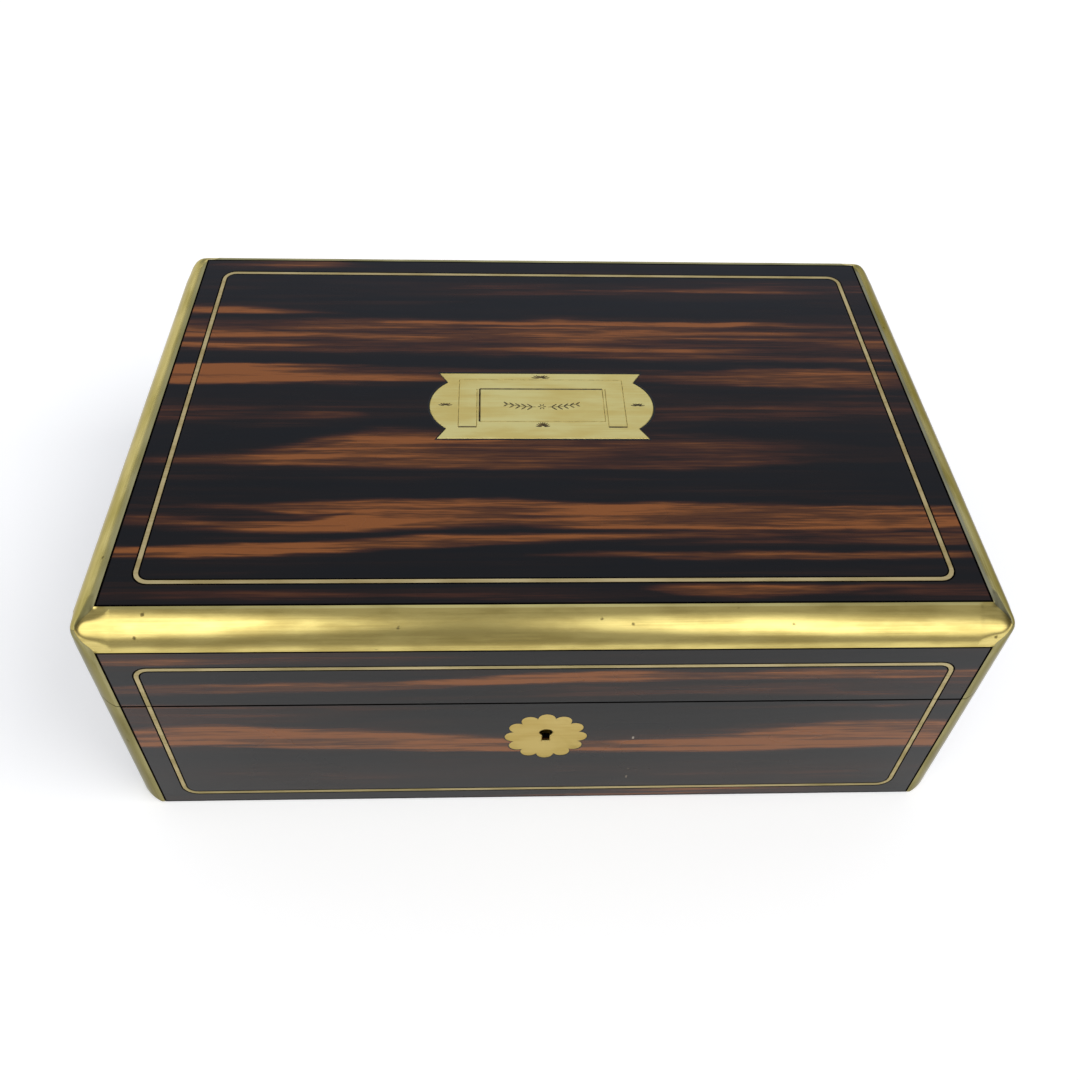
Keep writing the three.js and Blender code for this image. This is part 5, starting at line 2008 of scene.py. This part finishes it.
@dataclass
class Carcass:
    """The mahogany boards behind the veneer and the linings that stand up as a dust lip."""

    lip_round: float = 0.35 * MM
    keyhole_dark_reach: float = 9.0  # of the near-black patch round the keyhole, in millimetres
    corner: float = 10.1 * MM  # from the case's corner to where the brass is filed
    room: float = 7.0 * MM  # what is left of the boards past there, summed over the three axes

    def _lid_board(self, wall: str, wood: Material) -> Object:
        """Cuts a lid board back under the filed corners of the brass.

        Args:
            wall: the side of the lid.
            wood: its material.

        Returns:
            The new piece.
        """
        node = f"lid_{wall}_board"
        bm = copy_of(node)
        low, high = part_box("lid_front_edging")
        reach_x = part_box("lid_right_edging")[1].x - self.corner
        reach_y = -low.y - self.corner
        for x, y in ((-1, -1), (-1, 1), (1, -1), (1, 1)):
            point = Vector((reach_x * x, reach_y * y, high.z - self.corner + self.room))
            keep_behind(bm, point, Vector((x, y, 1)).normalized())
        return settle(bm, f"{wall}_lid_board", "lid", [wood], [node])

    def build(self) -> list[Object]:
        """Dresses the boards and works up the linings."""
        along_x = Mahogany("carcass_mahogany_x", Lay.FACING).material()
        along_y = Mahogany("carcass_mahogany_y", Lay.SIDE, seed=3.0).material()
        flat = Mahogany("panel_mahogany", Lay.FLAT, seed=8.0).material()
        pieces = [dress("base_bottom_board", flat), self._lid_board("top", flat)]
        low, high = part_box("keyhole_escutcheon")
        hole = (low + high) / 2 / MM
        # The front board is darkened to near black round the keyhole.
        keyhole_dark = Mark((hole.x, hole.z), (0.0, 0.0), 0.0, self.keyhole_dark_reach)
        handled = Mahogany("keyhole_mahogany", Lay.FACING, marks=(keyhole_dark,)).material()
        for wall in ("front", "back", "left", "right"):
            wood = along_x if wall in ("front", "back") else along_y
            pieces.append(self._lid_board(wall, wood))
            pieces.append(dress(f"base_{wall}_board", handled if wall == "front" else wood))
            lining, lip = f"base_{wall}_lining", f"{wall}_dust_lip"
            pieces.append(work_up(lining, lip, "base", wood, self.lip_round))
        return pieces


# Soft goods


@dataclass
class VelvetPad:
    """A thin velvet pad that is glued down, slightly crowned and drawn in at its edges."""

    name: str
    body: str
    low: Vector
    high: Vector
    stands_for: Sequence[str]
    edge_drop: float = 0.9 * MM
    edge_reach: float = 3.5 * MM
    ripple: float = 0.12 * MM
    wave_x: float = 9 * MM
    wave_y: float = 7 * MM
    wave_lean: float = 23 * MM
    cell: float = 4.0 * MM
    fill: float = 0.9

    def build(self, velvet: Material) -> Object:
        """Makes the pad from a block whose top is divided, crowned and rippled.

        Args:
            velvet: its material.

        Returns:
            The pad.
        """
        bm = box_between(self.low, self.high)
        size = self.high - self.low
        for axis in (0, 1):
            cuts = max(3, round(size[axis] / self.cell))
            edges = [e for e in bm.edges if abs((e.verts[0].co - e.verts[1].co)[axis]) > size[axis] / 2]
            bmesh.ops.subdivide_edges(bm, edges=edges, cuts=cuts, use_grid_fill=True)
        for vert in bm.verts:
            if vert.co.z < self.high.z - LEAST:
                continue
            past, left = vert.co - self.low, self.high - vert.co
            rim = min(past.x, left.x, past.y, left.y)
            share = min(1.0, max(0.0, rim / self.edge_reach))
            drop = self.edge_drop * (1 - math.sqrt(1 - (1 - share) ** 2)) if share < 1 else 0.0
            wave = math.sin(vert.co.x / self.wave_x)
            wave *= math.sin(vert.co.y / self.wave_y + vert.co.x / self.wave_lean)
            vert.co.z -= drop + self.ripple * (0.5 + 0.5 * wave) * share
        bmesh.ops.recalc_face_normals(bm, faces=bm.faces)
        piece = settle(bm, self.name, self.body, [velvet], self.stands_for)
        return piece


@dataclass
class BaizeFoot:
    """The sheet of green baize glued under the case."""

    corner: float = 8.4 * MM
    corner_steps: int = 8
    edge_round: float = 0.2 * MM

    def build(self) -> list[Object]:
        """Makes the sheet with rounded corners and a soft cut edge."""
        low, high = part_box("base_baize")
        bm = box_between(low, high)
        uprights = [e for e in bm.edges if abs(e.verts[0].co.z - e.verts[1].co.z) > LEAST]
        round_edges(bm, self.corner, self.corner_steps, uprights, clamp=False)
        round_edges(bm, self.edge_round, 1)
        piece = settle(bm, "baize_foot", "base", [Baize("green_baize").material()], ["base_baize"])
        return [piece]


# Tray and lid interior


@dataclass
class LiftOutTray:
    """The mahogany tray with its dividers and a velvet pad in each well."""

    edge_round: float = 0.4 * MM
    play: float = 0.2 * MM
    floor_drop: float = 0.6 * MM  # at the edges of the pad on the case's floor

    def _pad(self, name: str, span_x: Span, span_y: Span) -> VelvetPad:
        """Plans the pad of one well between the faces of the wood round it.

        Args:
            name: the pad's name.
            span_x: from where to where the well goes along X.
            span_y: the same along Y.

        Returns:
            The pad.
        """
        low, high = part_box("tray_bottom")
        near = Vector((span_x[0] + self.play, span_y[0] + self.play, low.z))
        far = Vector((span_x[1] - self.play, span_y[1] - self.play, high.z))
        return VelvetPad(name, "tray", near, far, ["tray_bottom"])

    def build(self) -> list[Object]:
        """Works up the wood and makes the pads."""
        pieces = []
        frame_wood = Mahogany("tray_mahogany", Lay.FACING, seed=12.0).material()
        cross_wood = Mahogany("divider_mahogany", Lay.SIDE, seed=15.0).material()
        for node in ("tray_frame", "tray_long_divider"):
            pieces.append(work_up(node, f"{node}_wood", "tray", frame_wood, self.edge_round))
        low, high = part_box("tray_bottom")
        walls = [low.x]
        for k in (1, 2, 3):
            node = f"tray_cross_divider_{k}"
            pieces.append(work_up(node, f"{node}_wood", "tray", cross_wood, self.edge_round))
            walls += [corner.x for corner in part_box(node)]
        walls.append(high.x)
        front, back = (corner.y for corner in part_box("tray_long_divider"))
        velvet = Velvet("crimson_velvet").material()
        pads = [self._pad("trough_pad", (low.x, high.x), (low.y, front))]
        for k, span in enumerate(zip(walls[::2], walls[1::2], strict=True), 1):
            pads.append(self._pad(f"well_pad_{k}", span, (back, high.y)))
        low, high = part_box("floor_pad")
        pads.append(VelvetPad("case_floor_pad", "base", low, high, ["floor_pad"], self.floor_drop))
        return pieces + [pad.build(velvet) for pad in pads]


@dataclass
class LidInterior:
    """The leather panel in the lid, the tooled mirror frame on it and the mirror."""

    panel_round: float = 1.2 * MM
    frame_round: float = 0.5 * MM
    line_width: float = 0.7 * MM
    line_rise: float = 0.06 * MM
    line_gauge: float = 0.18 * MM
    outer_line_inset: float = 4.5 * MM
    inner_line_inset: float = 13.5 * MM
    gilt: AgedBrass = AgedBrass(
        "tooled_gilt", Lay.FLAT, "#e6c46a", "#b8903c", roughness=(0.3, 0.5), pitted=False, seed=14.0
    )

    def _tooled_line(self, name: str, inset: float, gilt: Material) -> Object:
        """Makes a gilt line round the face of the frame.

        Args:
            name: the piece's name.
            inset: how far it lies from the frame's edge.
            gilt: its material.

        Returns:
            The line.
        """
        low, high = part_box("mirror_frame")
        bm = bmesh.new()
        bmesh.ops.create_grid(bm, x_segments=1, y_segments=1, size=0.5)
        size = high - low
        bmesh.ops.scale(bm, vec=(size.x - 2 * inset, size.y - 2 * inset, 1), verts=bm.verts)
        panel = list(bm.faces)
        bmesh.ops.inset_individual(bm, faces=panel, thickness=self.line_width, use_even_offset=True)
        bmesh.ops.delete(bm, geom=panel, context="FACES")
        extrude(bm, self.line_gauge)
        move(bm, (0, 0, low.z - self.line_rise))
        return settle(bm, name, "lid", [gilt])

    def build(self) -> list[Object]:
        """Makes the panel and the frame and dresses the glass."""
        leather = Leather("green_leather").material()
        pieces = [
            work_up("lid_lining", "lid_leather_panel", "lid", leather, self.panel_round, 3),
            work_up("mirror_frame", "tooled_mirror_frame", "lid", leather, self.frame_round),
        ]
        gilt = self.gilt.material()
        pieces.append(self._tooled_line("outer_gilt_line", self.outer_line_inset, gilt))
        pieces.append(self._tooled_line("inner_gilt_line", self.inner_line_inset, gilt))
        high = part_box("mirror_glass")[1]
        glass = SilveredGlass("silvered_glass", (high.x, high.y)).material()
        pieces.append(dress("mirror_glass", glass))
        return pieces

# Studio


@dataclass
class Studio:
    """A plain pale floor, a soft studio round it and the camera of the photograph."""

    floor_half: float = 6.0
    floor_glow: float = 0.34
    camera_place: Vector = Vector((-21.3, -329.0, 409.6)) * MM
    heading: float = 0.06236  # to the right of +Y, in radians
    dip: float = 0.81259
    roll: float = 0.04446
    focal_px: float = 1036.22
    centre_px: tuple[float, float] = (535.88, 500.31)
    image_px: float = 1080.0
    sensor: float = 36.0
    near_clip: float = 0.01
    sun_energy: float = 1.42
    sun_spread: float = 40.0  # in degrees, as the sun's two turns are
    sun_turn: tuple[float, float] = (14.0, 44.0)
    patches: tuple = (  # azimuth, height, where each starts to fade and ends, and its strength
        (-38, 38, (11, 27), 2.1),
        (-4, 36, (5, 18), -0.14),
        (-88, 16, (10, 42), -0.2),
        (88, 16, (10, 42), -0.3),
        (176, 41, (9, 20), 0.14),
    )
    right_window: tuple = (38, 38, (13, 30), 2.1)

    def camera(self) -> None:
        """Stands the camera where the photograph was taken."""
        data = bpy.data.cameras.new("camera")
        camera = bpy.data.objects.new("camera", data)
        bpy.context.scene.collection.objects.link(camera)
        flat = math.cos(self.dip)
        across, ahead = math.sin(self.heading) * flat, math.cos(self.heading) * flat
        forward = Vector((across, ahead, -math.sin(self.dip)))
        right = forward.cross(Vector((0, 0, 1))).normalized()
        up = right.cross(forward)
        rolled_right = right * math.cos(self.roll) + up * math.sin(self.roll)
        rolled_up = up * math.cos(self.roll) - right * math.sin(self.roll)
        turned = Matrix((rolled_right, rolled_up, -forward)).transposed().to_4x4()
        camera.matrix_world = Matrix.Translation(self.camera_place) @ turned
        data.sensor_width = self.sensor
        data.lens = self.sensor * self.focal_px / self.image_px
        data.shift_x = 0.5 - self.centre_px[0] / self.image_px
        data.shift_y = self.centre_px[1] / self.image_px - 0.5
        data.clip_start = self.near_clip
        bpy.context.scene.camera = camera

    def floor(self) -> None:
        """Lays the floor, which shows as white paper that keeps the case's shadow."""
        bm = bmesh.new()
        bmesh.ops.create_grid(bm, x_segments=1, y_segments=1, size=self.floor_half)
        mesh = bpy.data.meshes.new("floor")
        bm.to_mesh(mesh)
        bm.free()
        floor = bpy.data.objects.new("floor", mesh)
        bpy.context.scene.collection.objects.link(floor)
        material = bpy.data.materials.new("white_paper")
        material.use_nodes = True
        tree = material.node_tree
        tree.nodes.clear()
        paper = add(tree, "BsdfDiffuse", {"Color": "#e6e6e6"})[0]
        # The glow shows to rays from the camera and to those reflected or let through
        path = add(tree, "LightPath")
        seen = add(tree, "Math", (path["Is Camera Ray"], path["Is Glossy Ray"]), operation="MAXIMUM")[0]
        seen = add(tree, "Math", (seen, path["Is Transmission Ray"]), operation="MAXIMUM")[0]
        strength = add(tree, "Math", (seen, self.floor_glow), operation="MULTIPLY")[0]
        glow = add(tree, "Emission", {"Color": "#ffffff", "Strength": strength})[0]
        add(tree, "OutputMaterial", (add(tree, "AddShader", (paper, glow))[0],))
        mesh.materials.append(material)

    def _window(
        self, tree: NodeTree, ray: NodeSocket, azimuth: float, height: float, spread: Span, strength: float
    ) -> NodeSocket:
        """Makes one bright soft patch of the studio.

        Args:
            tree: the world's node tree.
            ray: the direction looked in.
            azimuth: degrees to the right of straight behind the camera.
            height: degrees above the horizon.
            spread: degrees to where the patch starts to fade and to where it ends.
            strength: its brightness.

        Returns:
            The socket with the patch's light in that direction.
        """
        a, h = math.radians(azimuth), math.radians(height)
        aim = (math.sin(a) * math.cos(h), -math.cos(a) * math.cos(h), math.sin(h))
        facing = add(tree, "VectorMath", (ray, aim), operation="DOT_PRODUCT")["Value"]
        start, end = (math.cos(math.radians(degrees)) for degrees in spread)
        return add(tree, "MapRange", (facing, end, start, 0.0, strength), **EASE)[0]

    def world(self) -> None:
        """Lights the studio: a mid level all round, a window left and right and a dim gap between."""
        world = bpy.data.worlds.new("studio")
        bpy.context.scene.world = world
        world.use_nodes = True
        tree = world.node_tree
        tree.nodes.clear()
        ray = add(tree, "TexCoord")["Generated"]
        _, far, up = add(tree, "SeparateXYZ", (ray,))
        light = add(tree, "MapRange", (far, 0.05, 0.55, 0.43, 0.66), **EASE)[0]
        for patch in self.patches:
            light = add(tree, "Math", (light, self._window(tree, ray, *patch)), operation="ADD")[0]
        # The right window's head falls to the right and fades out upwards
        head = add(tree, "VectorMath", (ray, (0.8, 0.81, 0.585)), operation="DOT_PRODUCT")["Value"]
        below = add(tree, "MapRange", (head, -0.11, 0.43, 1.0, 0.0), **EASE)[0]
        right = self._window(tree, ray, *self.right_window)
        right = add(tree, "Math", (right, below), operation="MULTIPLY")[0]
        light = add(tree, "Math", (light, right), operation="ADD")[0]
        path = add(tree, "LightPath")
        rays = (path["Is Glossy Ray"], path["Is Transmission Ray"])
        thrown = add(tree, "Math", rays, operation="MAXIMUM")[0]
        low = add(tree, "MapRange", (up, 0.02, 0.09, 1.0, 0.0), **EASE)[0]
        paper = add(tree, "Math", (thrown, low), operation="MULTIPLY")[0]
        paper = add(tree, "Math", (path["Is Camera Ray"], paper), operation="MAXIMUM")[0]
        cooler = add(tree, "MapRange", (far, 0.0, 0.6), **EASE)[0]
        tint = add(tree, "Mix", {0: cooler, 6: "#fbfbfb", 7: "#e2eaff"}, **COLOURS)[2]
        studio = add(tree, "Background", {"Color": tint, "Strength": light})[0]
        white = add(tree, "Background", {"Color": "#ffffff", "Strength": 1.0})[0]
        shown = add(tree, "MixShader", (paper, studio, white))[0]
        add(tree, "OutputWorld", (shown,))

    def lamp(self) -> None:
        """Hangs the key light, high at the right, which throws the shadow to the left."""
        data = bpy.data.lights.new("key", "SUN")
        data.energy = self.sun_energy
        data.angle = math.radians(self.sun_spread)
        lamp = bpy.data.objects.new("key", data)
        lamp.rotation_euler = (*(math.radians(angle) for angle in self.sun_turn), 0)
        lamp.visible_glossy = False  # the windows alone show in the brass
        bpy.context.scene.collection.objects.link(lamp)

    def build(self) -> None:
        """Sets the whole studio up."""
        bpy.context.scene.view_settings.view_transform = "Standard"
        self.camera()
        self.floor()
        self.world()
        self.lamp()


def main() -> None:
    """Builds every sub-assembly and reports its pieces."""
    logging.basicConfig(level=logging.INFO, format="%(name)s: %(message)s")
    Studio().build()
    parts = [
        BrassEdging(), Stringing(), Escutcheon(), LidPlate(), ButtHinge("left"), ButtHinge("right"),
        BoxLock(), VeneerCoat(), Carcass(), LiftOutTray(), LidInterior(), BaizeFoot(),
    ]
    for part in parts:
        for piece in part.build():
            log.info("%s: %s, %d faces", type(part).__name__, piece.name, len(piece.data.polygons))


if __name__ == "__main__":
    main()
